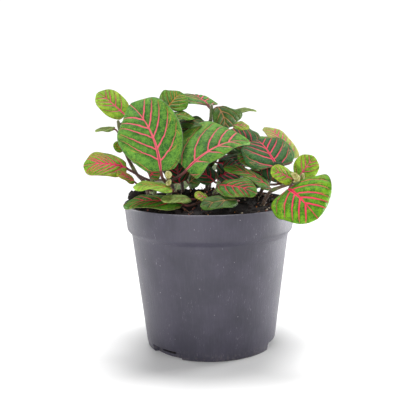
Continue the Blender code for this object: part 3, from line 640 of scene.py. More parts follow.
def leaf_shape(seed, more_veins, stem, along, base, tip, facing, width, arch, fold, bend, curl, widest, lean):
    """Points, faces and the vein coordinates of one leaf: its petiole and its blade, as one closed skin."""
    rng = np.random.RandomState(seed)
    on_stem, stem_way, radius = stem_place(stem, along)
    base = placed(base)
    tip = placed(tip)
    width, arch, bend, curl = plain((width, arch, bend, curl)) * PLANT_SCALE
    chord = tip - base
    length = np.linalg.norm(chord)
    normal = unit(plain(facing) - unit(chord) * (plain(facing) @ unit(chord)))
    side = unit(np.cross(chord, normal))
    stalk_rows = 7
    rows = int(np.clip(length / LEAF_GRID, 16, 68))
    columns = 2 * int(np.clip(width / LEAF_GRID / 2, 6, 30))
    s = blade_rows(rows)
    hump = 4 * s * (1 - s)
    roll = np.clip((s - 0.65) / 0.35, 0, 1) ** 2
    spine = (base + chord * s[:, None] + np.outer(arch * hump + curl * roll, normal)
             + np.outer(bend * hump, side))
    end = tip + normal * curl
    out = base - on_stem
    out = unit(out - stem_way * (out @ stem_way))
    start = on_stem + out * radius * 0.4
    reach = np.linalg.norm(base - start)
    leave = unit(out + 0.5 * stem_way) * reach
    arrive = unit(spine[1] - spine[0]) * reach
    stalk = np.concatenate([[start], hermite(start, base, leave, arrive, stalk_rows)[:-1]])
    points = np.concatenate([stalk, spine])
    ways = np.gradient(np.concatenate([points, [end]]), axis=0)[:-1]
    ways /= np.linalg.norm(ways, axis=1)[:, None]
    ups = normal - ways * (ways @ normal)[:, None]
    ups /= np.linalg.norm(ups, axis=1)[:, None]
    acrosses = np.cross(ways, ups)
    share = np.concatenate([np.zeros(stalk_rows), s])
    on_blade = np.concatenate([np.zeros(stalk_rows), np.ones(rows)])
    stalk_half = PETIOLE_RADIUS * PLANT_SCALE * min(1.3, 0.55 + width / 50)
    half = np.where(on_blade > 0,
                    np.maximum(stalk_half * (1 - share), width / 2 * blade_outline(share, widest)),
                    stalk_half)
    thick = stalk_half + (BLADE_HALF_THICKNESS * PLANT_SCALE - stalk_half) * np.minimum(1, share / 0.3)
    u_top = np.linspace(-1, 1, columns + 1)
    u = np.concatenate([u_top, u_top[-2:0:-1]])
    over = np.concatenate([np.ones(columns + 1), -np.ones(columns - 1)])
    u = u[None, :] + 0 * share[:, None]
    s2 = share[:, None] + 0 * u
    half2 = half[:, None]
    blade2 = on_blade[:, None]
    steps = np.concatenate([[0.0], np.cumsum(np.linalg.norm(np.diff(points, axis=0), axis=1))])
    run = (steps - steps[stalk_rows])[:, None] + 0 * u
    blade_length = run[-1, 0]
    sweep = half2 * u * (1 + np.where(u > 0, lean, -lean) * np.minimum(1.0, 4 * s2))
    back = lobe_back(s2, u, width) * blade2
    flat_along = (run - back) / PLANT_SCALE
    flat_across = sweep / PLANT_SCALE
    count = 4 + (width > 17) + (width > 42.5) + more_veins
    phases = []
    for _ in (-1, 1):
        places = -0.05 + 0.71 * (np.arange(count) / (count - 1)) ** 0.88
        places += rng.uniform(-0.02, 0.02, count)
        phases.append(vein_phase(flat_across, flat_along, blade_length / PLANT_SCALE,
                                 width / 2 / PLANT_SCALE, places))
    t = np.abs(u)
    own_phase = np.where(u < 0, phases[0][0], phases[1][0])
    own_gap = np.where(u < 0, phases[0][1], phases[1][1])
    scale = min(1.0, 0.35 + width / 60)
    relief = leaf_relief(own_phase, own_gap, flat_across, t, s2, scale) * blade2
    ruffle = 0.010 * width * t**4 * np.sin(2 * math.pi * (2.6 * s2 + rng.uniform())) * blade2
    rise = over * thick[:, None] * np.maximum(0.0, 1 - u * u) ** 0.4
    height = (blade_height(s2, u, fold, width) + relief + ruffle) * blade2
    verts = points[:, None] + acrosses[:, None] * sweep[..., None] + ups[:, None] * (rise + height)[..., None]
    verts = verts - ways[:, None] * back[..., None]
    ring = u.shape[1]
    total = len(points)
    corners = []
    faces = []
    lower = []
    for i in range(total - 1):
        for k in range(ring):
            n = (k + 1) % ring
            faces.append((i * ring + k, i * ring + n, (i + 1) * ring + n, (i + 1) * ring + k))
            lower.append(over[k] < 0 or over[n] < 0)
            corners.append(k >= columns // 2 and k < columns + columns // 2)
    apex = total * ring
    for k in range(ring):
        faces.append(((total - 1) * ring + k, (total - 1) * ring + (k + 1) % ring, apex))
        lower.append(over[k] < 0 or over[(k + 1) % ring] < 0)
        corners.append(k >= columns // 2 and k < columns + columns // 2)
    faces.append(tuple(range(ring))[::-1])
    lower.append(True)
    corners.append(True)
    verts = np.concatenate([verts.reshape(-1, 3), [end]])
    rib = (0.95 * (1 - smooth(-0.1, 0.95, s2)) + 0.22) * (0.55 + 0.45 * smooth(0.0, 0.1, s2))

    def flatten(values, last):
        return np.concatenate([(values + 0 * u).reshape(-1), [last]])

    fields = dict(
        across=flatten(flat_across, 0.0), along=flatten(flat_along, blade_length / PLANT_SCALE),
        out=flatten(t * blade2, 1.0), rib=flatten(rib, 0.2),
        left=[flatten(part, 0.5) for part in phases[0]], right=[flatten(part, 0.5) for part in phases[1]],
        width=width / PLANT_SCALE, seed=rng.uniform(0, 400),
    )
    return verts, faces, np.array(lower), np.array(corners), fields


# How many more side veins than usual these looks have on each half
MORE_VEINS = {"rose": 2, "blush": 2, "olive": -1}


def store_fields(mesh, right_side, fields):
    """The leaf's vein coordinates, per face corner, so that the two halves keep their own at the midrib."""
    index = np.empty(len(mesh.loops), np.int32)
    mesh.loops.foreach_get("vertex_index", index)
    totals = np.empty(len(mesh.polygons), np.int32)
    mesh.polygons.foreach_get("loop_total", totals)
    right = np.repeat(right_side, totals)
    phase = np.where(right, fields["right"][0][index], fields["left"][0][index])
    gap = np.where(right, fields["right"][1][index], fields["left"][1][index])
    wide = np.full(len(index), fields["width"])
    layers = {
        "leaf_run": (fields["across"][index], fields["along"][index], wide),
        "leaf_vein": (phase, gap, fields["out"][index]),
        "leaf_rib": (fields["rib"][index], 0 * gap, 0 * gap),
    }
    for name, parts in layers.items():
        layer = mesh.attributes.new(name, "FLOAT_VECTOR", "CORNER")
        layer.data.foreach_set("vector", np.stack(parts, 1).astype(np.float32).reshape(-1))


def check_place(node, verts):
    """Stops if a piece isn't where its CAD node is."""
    low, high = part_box(node)
    off = np.abs((verts.min(0) + verts.max(0)) / 2 - (plain(low) + plain(high)) / 2 / MM).max()
    if off > MOST_MISPLACED:
        raise ValueError("%s lies %.1f mm from its node" % (node, off))


def make_leaf(stem, materials, name, look, *shape):
    verts, faces, lower, right_side, fields = leaf_shape(
        int(name[-2:]), MORE_VEINS.get(look, 0), stem, *shape)
    check_place(name, verts)
    piece = mesh_object("visual_" + name, verts, faces,
                        [materials[look], materials["under"]], lower.astype(int))
    store_fields(piece.data, right_side, fields)
    young = look in ("lime", "rose", "fresh", "pale")
    return finish_piece(piece, "leaf_young" if young else "leaf_mature", name)


# ---- stems ---------------------------------------------------------------------------------------------

STEM_SIDES = 14


def carried_frames(points, first_up):
    """Side and up at each point, turning as little as possible from one to the next."""
    tangents = np.gradient(points, axis=0)
    tangents /= np.linalg.norm(tangents, axis=1)[:, None]
    up = plain(first_up)
    sides = []
    ups = []
    for tangent in tangents:
        up = unit(up - tangent * (up @ tangent))
        ups.append(up)
        sides.append(np.cross(tangent, up))
    return tangents, plain(sides), plain(ups)


def tube(points, radii, sides, first_up=(0, -1, 0)):
    """A closed tube with flat ends, and its normals at each vertex."""
    _, side, up = carried_frames(points, first_up)
    turns = np.arange(sides) * 2 * math.pi / sides
    normals = side[:, None] * np.cos(turns)[None, :, None] + up[:, None] * np.sin(turns)[None, :, None]
    verts = points[:, None] + normals * plain(radii)[:, None, None]
    faces = []
    for i in range(len(points) - 1):
        for k in range(sides):
            n = (k + 1) % sides
            faces.append((i * sides + n, i * sides + k, (i + 1) * sides + k, (i + 1) * sides + n)[::-1])
    faces.append(tuple(range(sides))[::-1])
    faces.append(tuple(range((len(points) - 1) * sides, len(points) * sides)))
    return verts.reshape(-1, 3), faces, normals.reshape(-1, 3)


def hairs(rng, roots, normals, lengths, thickness=0.045):
    """Fine hairs as thin three-sided spikes on these points."""
    verts = []
    faces = []
    for root, normal, length in zip(roots, normals, lengths):
        lean = unit(normal + rng.normal(0, 0.28, 3))
        one = unit(np.cross(lean, (0.3, 0.5, 0.8)))
        two = np.cross(lean, one)
        start = len(verts)
        for turn in (0.0, 2.1, 4.2):
            verts.append(root - normal * 0.1 + thickness * (one * math.cos(turn) + two * math.sin(turn)))
        verts.append(root + lean * length)
        faces += [(start, start + 1, start + 3), (start + 1, start + 2, start + 3),
                  (start + 2, start, start + 3)]
    return plain(verts), faces


def stem_material():
    g = Graph("stem_skin")
    place = g.place()
    long = g.node("VectorMath", {0: place, 1: (1.0, 1.0, 0.22)}, operation="MULTIPLY").outputs["Vector"]
    patch = g.noise(place, 0.12, 3.0, 0.6)
    streak = g.noise(long, 1.6, 3.0, 0.6)
    _, _, mark, _ = g.attribute("stem_mark")
    colour = g.mix(g.ease(patch, 0.36, 0.66), rgb(58, 38, 34), rgb(88, 68, 48))
    colour = g.mix(g.ease(streak, 0.45, 0.75, 0.0, 0.6), colour, rgb(116, 92, 74))
    colour = g.mix(g.times(mark, 0.75), colour, rgb(92, 116, 48))
    normal = g.bump(streak, 0.00025)
    return g.surface(colour, 0.55, normal, Sheen_Weight=0.12, Sheen_Roughness=0.4)


def hair_material():
    g = Graph("plant_hair")
    return g.surface(g.mix(g.noise(g.place(), 0.5, 1.0), rgb(214, 196, 186), rgb(236, 230, 222)), 0.6)


def make_stem(name, foot, above, materials):
    seed = sum(map(ord, name))
    rng = np.random.RandomState(seed)
    points = stem_spine(foot, above)
    shares = shares_along(points)
    length = np.linalg.norm(np.diff(points, axis=0), axis=1).sum()
    above_soil = shares_along(points[1:])
    marks = np.interp(sorted({row[2] for row in LEAVES[name]}), above_soil, shares[1:])
    swell = np.zeros(len(points))
    for mark in marks:
        swell = np.maximum(swell, np.exp(-((shares - mark) * length / 2.2) ** 2))
    radii = stem_radius(shares) * (1 + 0.28 * swell) * (1 + 0.04 * rng.normal(size=len(points)))
    tip = points[-1] + unit(points[-1] - points[-2])[None] * plain([[0.6], [1.1], [1.35]]) * radii[-1]
    points = np.concatenate([points, tip])
    radii = np.concatenate([radii, radii[-1] * plain((0.86, 0.5, 0.12))])
    swell = np.concatenate([swell, (1.0, 1.0, 1.0)])
    verts, faces, normals = tube(points, radii, STEM_SIDES)
    check_place(name, verts)
    shown = rng.randint(2 * STEM_SIDES, len(verts), int(7 * length))
    spots = verts[shown] + 0.6 * rng.uniform(-1, 1, (len(shown), 3)) * (1 - np.abs(normals[shown]))
    along = np.roll(verts, -STEM_SIDES, axis=0)[shown] - verts[shown]
    spots = spots + along * rng.uniform(0, 1, (len(shown), 1)) * (shown < len(verts) - STEM_SIDES)[:, None]
    hair_verts, hair_faces = hairs(rng, spots, normals[shown], rng.uniform(0.5, 1.2, len(shown)))
    faces = faces + [tuple(i + len(verts) for i in face) for face in hair_faces]
    slots = np.concatenate([np.zeros(len(faces) - len(hair_faces)), np.ones(len(hair_faces))])
    mark = np.concatenate([np.repeat(swell, STEM_SIDES), np.zeros(len(hair_verts))])
    piece = mesh_object("visual_" + name, np.concatenate([verts, hair_verts]), faces, materials, slots)
    layer = piece.data.attributes.new("stem_mark", "FLOAT_VECTOR", "POINT")
    layer.data.foreach_set("vector", np.stack([0 * mark, mark, 0 * mark], 1).astype(np.float32).reshape(-1))
    return finish_piece(piece, "stem", name)


# ---- soil ----------------------------------------------------------------------------------------------

SOIL_RINGS = 44
SOIL_SECTORS = 150
COVER = 0.35


def rough(x, y, z, scale, octaves=4):
    return noise.fractal(Vector((x, y, z)) / scale, 0.9, 2.1, octaves)


def soil_top(x, y):
    """The visible soil, which lies just over the CAD's own surface."""
    reach = math.hypot(x, y) / (RIM_RADIUS - WALL)
    lumps = abs(rough(x, y, 3.0, 7.0)) * 2.2 + abs(rough(x, y, 9.0, 2.4, 2)) * 0.9
    return soil_height(x, y) + COVER + lumps * (1 - 0.5 * smooth(0.9, 1.0, reach))


def soil_material(name, dark, light, scale):
    g = Graph(name)
    place = g.place()
    big = g.noise(place, 0.22 * scale, 4.0, 0.65)
    fine = g.noise(place, 1.4 * scale, 4.0, 0.7)
    grains = g.node("TexVoronoi", {"Vector": place, "Scale": 1.1 * scale})
    colour = g.mix(g.ease(g.plus(g.times(big, 0.6), g.times(fine, 0.6)), 0.42, 0.82), dark, light)
    height = g.plus(g.times(grains.outputs["Distance"], 0.6), g.times(fine, 0.7))
    roughness = g.ease(fine, 0.3, 0.7, 0.78, 0.96)
    return g.surface(colour, roughness, g.bump(height, 0.0006), Specular_IOR_Level=0.3)


def chip_template(subdivisions):
    import bmesh
    made = bmesh.new()
    bmesh.ops.create_icosphere(made, subdivisions=subdivisions, radius=1.0)
    verts = plain([v.co[:] for v in made.verts])
    faces = [tuple(v.index for v in face.verts) for face in made.faces]
    made.free()
    return verts, faces


def scatter_chips(rng, places, sizes, template, flat=0.7, knobbly=0.22):
    """Irregular chips of these sizes at these places, as one mesh."""
    base, base_faces = template
    verts = []
    faces = []
    for place, size in zip(places, sizes):
        turn = np.linalg.qr(rng.normal(size=(3, 3)))[0]
        turn = turn * np.sign(np.linalg.det(turn))
        stretch = plain((1.0, rng.uniform(0.65, 1.0), rng.uniform(flat * 0.7, flat * 1.2)))
        shape = base * (1 + knobbly * rng.normal(size=(len(base), 1))) * stretch * size
        faces += [tuple(i + len(verts) * len(base) for i in face) for face in base_faces]
        verts.append(shape @ turn.T + place)
    return np.concatenate(verts), faces


def soil_places(rng, count, sizes, sink, reach=1.0):
    """Random places on the soil, sunk by a share of each chip's size."""
    inner = RIM_RADIUS - WALL - 1.0
    places = []
    for size in sizes[:count]:
        r = (inner * reach - size) * math.sqrt(rng.uniform())
        a = rng.uniform(0, 2 * math.pi)
        x = r * math.sin(a)
        y = -r * math.cos(a)
        places.append((x, y, soil_top(x, y) - size * sink))
    return plain(places)


def heap_places(rng, count, sizes):
    """Clods heaped against the wall at the back left, up over the rim."""
    places = []
    for size in sizes[:count]:
        a = math.radians(rng.uniform(-112, -88))
        r = RIM_RADIUS - WALL - 2.6 - abs(rng.normal(0, 3.2)) - size * 0.4
        x = r * math.sin(a)
        y = -r * math.cos(a)
        places.append((x, y, soil_height(x, y) + rng.uniform(0.5, 7.5)))
    return plain(places)


def make_soil():
    inner = RIM_RADIUS - WALL - 0.15
    verts = [(0.0, 0.0, soil_top(0, 0))]
    for ring in range(1, SOIL_RINGS + 1):
        r = inner * (ring / SOIL_RINGS) ** 0.8
        for sector in range(SOIL_SECTORS):
            a = 2 * math.pi * sector / SOIL_SECTORS
            x = r * math.sin(a)
            y = -r * math.cos(a)
            verts.append((x, y, soil_top(x, y)))
    skirt_from = len(verts) - SOIL_SECTORS
    verts += [(x, y, POT_HEIGHT - SOIL_DROP - 6.0) for x, y, _ in verts[skirt_from:]]
    faces = []
    for k in range(SOIL_SECTORS):
        n = (k + 1) % SOIL_SECTORS
        faces.append((0, 1 + k, 1 + n))
        for ring in range(SOIL_RINGS):
            here = 1 + ring * SOIL_SECTORS
            there = here + SOIL_SECTORS
            faces.append((here + k, there + k, there + n, here + n))
    faces.append(tuple(range(len(verts) - SOIL_SECTORS, len(verts)))[::-1])
    dark = soil_material("soil_peat", rgb(8, 7, 8), rgb(38, 31, 30), 1.0)
    top = mesh_object("soil_top", verts, faces, [dark])
    finish_piece(top, "soil")
    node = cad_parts["soil"]
    node.data.materials.clear()
    node.data.materials.append(dark)

    rng = np.random.RandomState(11)
    fine = chip_template(2)
    coarse = chip_template(1)
    sizes = rng.uniform(0.9, 2.0, 420)
    clods, clod_faces = scatter_chips(rng, soil_places(rng, 420, sizes, 0.1), sizes, fine)
    heap_sizes = rng.uniform(1.4, 3.0, 46)
    heap, heap_faces = scatter_chips(rng, heap_places(rng, 46, heap_sizes), heap_sizes, fine, 0.8, 0.26)
    crumb_sizes = rng.uniform(0.35, 0.9, 900)
    crumbs, crumb_faces = scatter_chips(rng, soil_places(rng, 900, crumb_sizes, -0.1), crumb_sizes, coarse)
    verts = np.concatenate([clods, heap, crumbs])
    faces = clod_faces + [tuple(i + len(clods) for i in face) for face in heap_faces]
    faces += [tuple(i + len(clods) + len(heap) for i in face) for face in crumb_faces]
    peat = soil_material("soil_clods", rgb(10, 8, 9), rgb(50, 40, 37), 1.4)
    finish_piece(mesh_object("soil_crumbs", verts, faces, [peat]), "soil")

    chip_sizes = rng.uniform(0.4, 1.15, 260)
    chips, chip_faces = scatter_chips(rng, soil_places(rng, 260, chip_sizes, -0.5), chip_sizes, coarse, 0.5)
    tones = [
        soil_material("grit_orange", rgb(150, 84, 34), rgb(226, 150, 72), 2.0),
        soil_material("grit_cream", rgb(170, 150, 120), rgb(236, 222, 196), 2.0),
        soil_material("grit_rust", rgb(110, 54, 44), rgb(176, 104, 86), 2.0),
    ]
    tone = np.repeat(rng.randint(0, 3, 260), len(coarse[1]))
    finish_piece(mesh_object("soil_grit", chips, chip_faces, tones, tone), "soil")

    verts = []
    faces = []
    for _ in range(110):
        length = rng.uniform(3.0, 11.0)
        place = soil_places(rng, 1, [1.0], -0.4, 0.97)[0]
        way = unit(rng.normal(size=3) * plain((1, 1, 0.35)))
        sag = rng.normal(size=3) * 0.16 * length
        t = np.linspace(-0.5, 0.5, 7)[:, None]
        line = place + way * t * length + sag * (0.25 - t * t)
        line[:, 2] = [max(z, soil_top(x, y) + 0.1) for x, y, z in line]
        keep = np.hypot(line[:, 0], line[:, 1]) < inner - 0.6
        if keep.sum() < 3:
            continue
        line = line[keep]
        radii = rng.uniform(0.12, 0.34) * np.linspace(1.0, 0.5, len(line))
        part, part_faces, _ = tube(line, radii, 5, (0.1, 0.2, 0.97))
        faces += [tuple(i + sum(map(len, verts)) for i in face) for face in part_faces]
        verts.append(part)
    fibre = soil_material("soil_fibre", rgb(64, 42, 32), rgb(140, 104, 78), 2.0)
    finish_piece(mesh_object("soil_fibres", np.concatenate(verts), faces, [fibre]), "soil")


# ---- pot -----------------------------------------------------------------------------------------------

POT_SECTORS = 180
LIP_ROUND = 0.55
NOTCH_RAMP = 1.3


def body_radius(z):
    """Outer radius of the tapered body below the shoulder."""
    high_z = POT_HEIGHT - COLLAR_HEIGHT - SHOULDER_HEIGHT
    high_r = RIM_RADIUS - COLLAR_DRAFT - SHOULDER_STEP
    return BASE_RADIUS + (high_r - BASE_RADIUS) * z / high_z


def upper_profile(inset):
    """Radius and height of the wall from the shoulder up to under the lip, moved in by inset."""
    collar_z = POT_HEIGHT - COLLAR_HEIGHT
    collar_r = RIM_RADIUS - COLLAR_DRAFT
    low = collar_z - SHOULDER_HEIGHT
    points = [(body_radius(low - step), low - step) for step in (4.0, 2.0, 1.0, 0.4)]
    for share in np.linspace(0.0, 1.0, 13)[1:]:
        ease = share * share * (3 - 2 * share)
        points.append((collar_r - SHOULDER_STEP * (1 - ease), low + SHOULDER_HEIGHT * share))
    for share in (0.04, 0.12, 0.5, 0.88):
        points.append((collar_r + COLLAR_DRAFT * share, collar_z + COLLAR_HEIGHT * share))
    return [(r - inset, z) for r, z in points]


def notch_share(angle, half_width):
    """1 inside a notch, 0 outside it, and an eased ramp between."""
    pitch = 360.0 / NOTCH_COUNT
    off = abs((angle - NOTCH_FIRST + pitch / 2) % pitch - pitch / 2)
    return float(smooth(0.0, 1.0, (half_width + NOTCH_RAMP - off) / NOTCH_RAMP))


NOTCH_EDGE = math.degrees(NOTCH_WIDTH / 2 / BASE_RADIUS)
WALL_EDGE = NOTCH_EDGE + math.degrees((WALL + 0.2) / BASE_RADIUS)


def pot_profile(angle):
    outer = notch_share(angle, NOTCH_EDGE)
    inner = notch_share(angle, WALL_EDGE)
    pressed = BASE_RADIUS - NOTCH_DEPTH
    points = [(0.0, 0.0), (BASE_RADIUS * 0.5, 0.0), (BASE_RADIUS * 0.8, 0.0)]
    for turn in np.linspace(0.0, 90.0, 7):
        r = BASE_RADIUS - BASE_ROUND * (1 - math.sin(math.radians(turn)))
        z = BASE_ROUND * (1 - math.cos(math.radians(turn)))
        points.append((r + (pressed - r) * outer, z))
    for z, share in ((3.4, 1.0), (NOTCH_HEIGHT - 0.7, 1.0),
                     (NOTCH_HEIGHT - 0.25, 0.94), (NOTCH_HEIGHT, 0.75)):
        points.append((body_radius(z) + (pressed - body_radius(z)) * outer * share, z))
    points.append((body_radius(NOTCH_HEIGHT + 0.1) - 0.5 * outer, NOTCH_HEIGHT + 0.1))
    points.append((body_radius(NOTCH_HEIGHT + 0.35) - 0.12 * outer, NOTCH_HEIGHT + 0.35))
    points += [(body_radius(z), z) for z in (6.0, 9.0, 16.0, 30.0, 45.0, 60.0)]
    points += upper_profile(0.0)
    for turn in np.linspace(0.0, 90.0, 5):
        r = RIM_RADIUS - LIP_ROUND * (1 - math.cos(math.radians(turn)))
        points.append((r, POT_HEIGHT - LIP_ROUND * (1 - math.sin(math.radians(turn)))))
    for turn in np.linspace(90.0, 0.0, 5):
        r = RIM_RADIUS - WALL + LIP_ROUND * (1 - math.cos(math.radians(turn)))
        points.append((r, POT_HEIGHT - LIP_ROUND * (1 - math.sin(math.radians(turn)))))
    points += upper_profile(WALL)[::-1]
    ledge = NOTCH_HEIGHT + WALL
    points.append((body_radius(ledge + 0.4) - WALL, ledge + 0.4))
    shelf = body_radius(ledge) - WALL
    points.append((shelf + (pressed - WALL - shelf) * inner, ledge))
    low = body_radius(FLOOR) - WALL
    points.append((low + (pressed - WALL - low) * inner, FLOOR))
    points.append((0.0, FLOOR))
    return points


def sector_angles():
    """Even sectors, with extra ones down the sides of the notches."""
    angles = set(round(i * 360.0 / POT_SECTORS, 3) for i in range(POT_SECTORS))
    for index in range(NOTCH_COUNT):
        middle = NOTCH_FIRST + index * 360.0 / NOTCH_COUNT
        for edge in (NOTCH_EDGE, WALL_EDGE):
            for step in np.linspace(0.0, NOTCH_RAMP, 5):
                for side in (-1, 1):
                    angles.add(round((middle + side * (edge + step)) % 360.0, 3))
    kept = []
    for angle in sorted(angles):
        if not kept or angle - kept[-1] > 0.12:
            kept.append(angle)
    return kept


def revolve(angles, profile_at):
    """A closed skin of profile_at(angle) round the axis. The first and last points lie on the axis."""
    rings = [profile_at(angle) for angle in angles]
    count = len(rings[0]) - 2
    verts = [(0.0, 0.0, rings[0][0][1])]
    for angle, ring in zip(angles, rings):
        a = math.radians(angle)
        verts += [(r * math.sin(a), -r * math.cos(a), z) for r, z in ring[1:-1]]
    verts.append((0.0, 0.0, rings[0][-1][1]))
    faces = []
    for i in range(len(angles)):
        here = 1 + i * count
        there = 1 + ((i + 1) % len(angles)) * count
        faces.append((0, here, there)[::-1])
        faces.append((len(verts) - 1, there + count - 1, here + count - 1)[::-1])
        for k in range(count - 1):
            faces.append((here + k, here + k + 1, there + k + 1, there + k)[::-1])
    return verts, faces


def box_mesh(centre_radius, angle, depth, width, low, high):
    """A box standing across the radius at this angle."""
    a = math.radians(angle)
    out = plain((math.sin(a), -math.cos(a), 0))
    along = plain((math.cos(a), math.sin(a), 0))
    verts = []
    for z in (low, high):
        for r, w in ((-1, -1), (1, -1), (1, 1), (-1, 1)):
            verts.append(out * (centre_radius + r * depth / 2) + along * w * width / 2 + plain((0, 0, z)))
    faces = [(3, 2, 1, 0), (4, 5, 6, 7), (0, 1, 5, 4), (1, 2, 6, 5), (2, 3, 7, 6), (3, 0, 4, 7)]
    return verts, faces


def cut_slots(pot):
    """Cuts the drainage slots through the pressed-in notches and keeps the result as the pot's mesh."""
    cutters = []
    for index in range(NOTCH_COUNT):
        angle = NOTCH_FIRST + index * 360.0 / NOTCH_COUNT
        low = FLOOR + 0.6
        shape = box_mesh(BASE_RADIUS - NOTCH_DEPTH - WALL / 2, angle, 6.0, SLOT_WIDTH, low, low + SLOT_HEIGHT)
        cutter = mesh_object("cutter", *shape, [], smooth_faces=False)
        modifier = pot.modifiers.new("slot", "BOOLEAN")
        modifier.solver = "EXACT"
        modifier.object = cutter
        cutters.append(cutter)
    bpy.context.view_layer.update()
    graph = bpy.context.evaluated_depsgraph_get()
    cut = bpy.data.meshes.new_from_object(pot.evaluated_get(graph))
    pot.modifiers.clear()
    pot.data = cut
    for cutter in cutters:
        bpy.data.objects.remove(cutter)


def pot_material():
    """Matte dark grey plastic: a fine mould grain, faint upright scuffs, dust, and a painted highlight along
    the top of the lip.
    """
    g = Graph("pot_plastic")
    place = g.place()
    upright = g.node("VectorMath", {0: place, 1: (1.0, 1.0, 0.06)}, operation="MULTIPLY").outputs["Vector"]
    cloud = g.noise(place, 0.045, 4.0, 0.6)
    streak = g.noise(upright, 0.75, 5.0, 0.65)
    grain = g.noise(place, 4.0, 2.0, 0.6)
    scratch = g.noise(upright, 2.6, 2.0, 0.5)
    colour = g.mix(g.ease(cloud, 0.35, 0.68), rgb(49, 47, 60), rgb(61, 58, 72))
    colour = g.mix(g.ease(streak, 0.46, 0.78, 0.0, 0.26), colour, rgb(86, 84, 96))
    marks = g.times(g.ease(scratch, 0.66, 0.72), g.ease(g.noise(place, 0.09, 2.0), 0.52, 0.6))
    colour = g.mix(g.times(marks, 0.4), colour, rgb(150, 146, 154))
    height = g.node("SeparateXYZ", {0: place}).outputs["Z"]
    # Painted highlight: the top 0.9 mm of the lip is made lighter, broken up by the streaks
    rim = g.times(g.ease(height, POT_HEIGHT - 0.9, POT_HEIGHT - 0.1), g.ease(streak, 0.3, 0.6, 0.4, 1.0))
    colour = g.mix(g.times(rim, 0.35), colour, rgb(130, 127, 136))
    dust = g.times(g.ease(height, 1.0, 9.0, 1.0, 0.0), g.ease(g.noise(place, 0.5, 4.0), 0.45, 0.7))
    colour = g.mix(g.times(dust, 0.25), colour, rgb(124, 116, 110))
    specks = g.node("TexVoronoi", {"Vector": place, "Scale": 0.16, "Randomness": 1.0})
    colour = g.mix(g.ease(specks.outputs["Distance"], 0.035, 0.06, 0.6, 0.0), colour, rgb(170, 166, 170))
    roughness = g.plus(g.ease(streak, 0.35, 0.75, 0.34, 0.46), g.times(grain, 0.08))
    bumps = g.plus(g.times(grain, 0.25), g.plus(g.times(streak, 0.8), g.times(marks, 0.5)))
    return g.surface(colour, roughness, g.bump(bumps, 0.00016), Specular_IOR_Level=0.5)


def make_pot():
    verts, faces = revolve(sector_angles(), pot_profile)
    pot = mesh_object("visual_pot", verts, faces, [pot_material()])
    cut_slots(pot)
    mesh = pot.data
    mesh.polygons.foreach_set("use_smooth", np.full(len(mesh.polygons), True))
    mesh.set_sharp_from_angle(angle=math.radians(38))
    check_place("pot", plain([v.co[:] for v in mesh.vertices]) / MM)
    return finish_piece(pot, "pot", "pot")


# ---- the whole plant -----------------------------------------------------------------------------------

# Small shoots at the stem tips, which are part of the stems: stem, then a leaf row as above
SHOOTS = (
    ("stem_right", ("shoot_1", "tip", 0.99, (56.5, -41, 17), (54, -44, 25), (-3, -5, 2),
                    7, -1, 0.3, 0, 0, 0.5, 0)),
    ("stem_right", ("shoot_2", "tip", 0.99, (58, -40, 17), (61, -42, 24), (-5, -4, 4),
                    6, -1, 0.3, 0, 0, 0.5, 0)),
    ("stem_right", ("shoot_3", "lime", 0.99, (57, -40, 16), (57, -46, 19), (0, -5, 5),
                    6, -1, 0.3, 0, 0, 0.5, 0)),
    ("stem_centre", ("shoot_4", "tip", 0.98, (-27, -35, 20.5), (-26.5, -38, 26), (0, -6, 4),
                     4.6, -1, 0.3, 0, 0, 0.5, 0)),
    ("stem_centre", ("shoot_5", "tip", 0.98, (-26, -38, 16.5), (-26.5, -41.5, 20.5), (1, -6, 4),
                     5, -1, 0.3, 0, 0, 0.5, 0)),
    ("stem_mid_left", ("shoot_6", "bright", 0.9, (-45, -13, 28), (-45, -16, 38), (0, -6, 4),
                       7, 1, 0.3, 0, 0, 0.5, 0)),
)

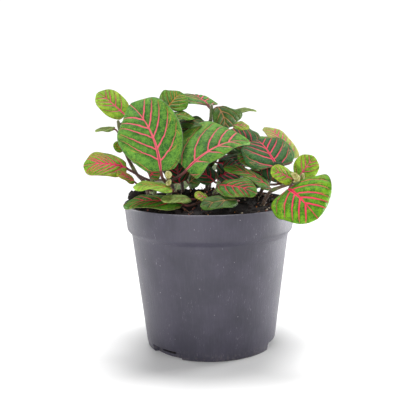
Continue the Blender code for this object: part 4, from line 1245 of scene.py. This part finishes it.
# Shaded leaves low in the middle of the plant, seen only between the others
INNER_LEAVES = (
    ("stem_inner_left", ("inner_1", "shaded", 0.35, (-12, 4, 24), (6, 2, 36), (0, -7, 5),
                         20, 2, 0.1, 0, -1, 0.45, 0)),
    ("stem_inner_left", ("inner_2", "olive", 0.25, (-14, -2, 13), (-2, -10, 21), (1, -7, 6),
                         15, 2, 0.1, 0, -1, 0.45, 0)),
    ("stem_upright", ("inner_3", "shaded", 0.3, (6, 4, 16), (22, -2, 22), (0, -7, 6),
                      24, 2, 0.1, 0, -1, 0.45, 0)),
    ("stem_upright", ("inner_4", "shaded", 0.45, (6, 8, 26), (26, 8, 20), (0, -7, 6),
                      20, 2, 0.1, 0, -1, 0.45, 0)),
    ("stem_inner_right", ("inner_5", "crimson", 0.7, (36, 4, 24), (20, 0, 32), (0, -6, 7),
                          16, 2, 0.1, 0, -1, 0.45, 0)),
    ("stem_inner_right", ("inner_6", "shaded", 0.85, (38, -6, 27), (50, -14, 16), (0, -7, 5),
                          17, 2, 0.1, 0, -1, 0.45, 0)),
    ("stem_inner_right", ("inner_7", "shaded", 0.6, (40, 6, 18), (26, -4, 12), (0, -6, 7),
                          20, 2, 0.1, 0, -1, 0.45, 0)),
    ("stem_mid_left", ("inner_8", "crimson", 0.8, (-40, -14, 20), (-34, -19, 27), (1, -8, 4),
                       12, 1, 0.1, 0, 0, 0.45, 0)),
    ("stem_inner_left", ("inner_9", "olive", 0.8, (-20, 6, 50), (2, 10, 46), (0, -6, 8),
                         17, 2, 0.1, 0, -1, 0.45, 0)),
    ("stem_inner_left", ("inner_10", "shaded", 0.6, (-16, 0, 30), (-14, -4, 46), (1, -8, 3),
                         14, 1, 0.1, 0, 0, 0.45, 0)),
    ("stem_inner_left", ("inner_11", "shaded", 0.2, (-21, -2, 14), (-25, -4, 32), (1, -8, 3),
                         18, 1, 0.1, 0, 0, 0.45, 0)),
)


def make_extra(number, stem, materials, row):
    name, look, *shape = row
    verts, faces, lower, right_side, fields = leaf_shape(100 + number, 0, stem, *shape)
    piece = mesh_object(name, verts, faces, [materials[look], materials["under"]], lower.astype(int))
    store_fields(piece.data, right_side, fields)
    return finish_piece(piece, "leaf_young")


def main():
    make_camera()
    make_studio()
    make_pot()
    make_soil()
    skins = [stem_material(), hair_material()]
    for name, foot, above in STEMS:
        make_stem(name, foot, above, skins)
    materials = {look: leaf_material("leaf_" + look, LOOKS[look]) for look in LOOKS}
    for stem, leaves in LEAVES.items():
        for row in leaves:
            make_leaf(stem, materials, *row)
    for number, (stem, row) in enumerate(SHOOTS + INNER_LEAVES):
        make_extra(number, stem, materials, row)


main()
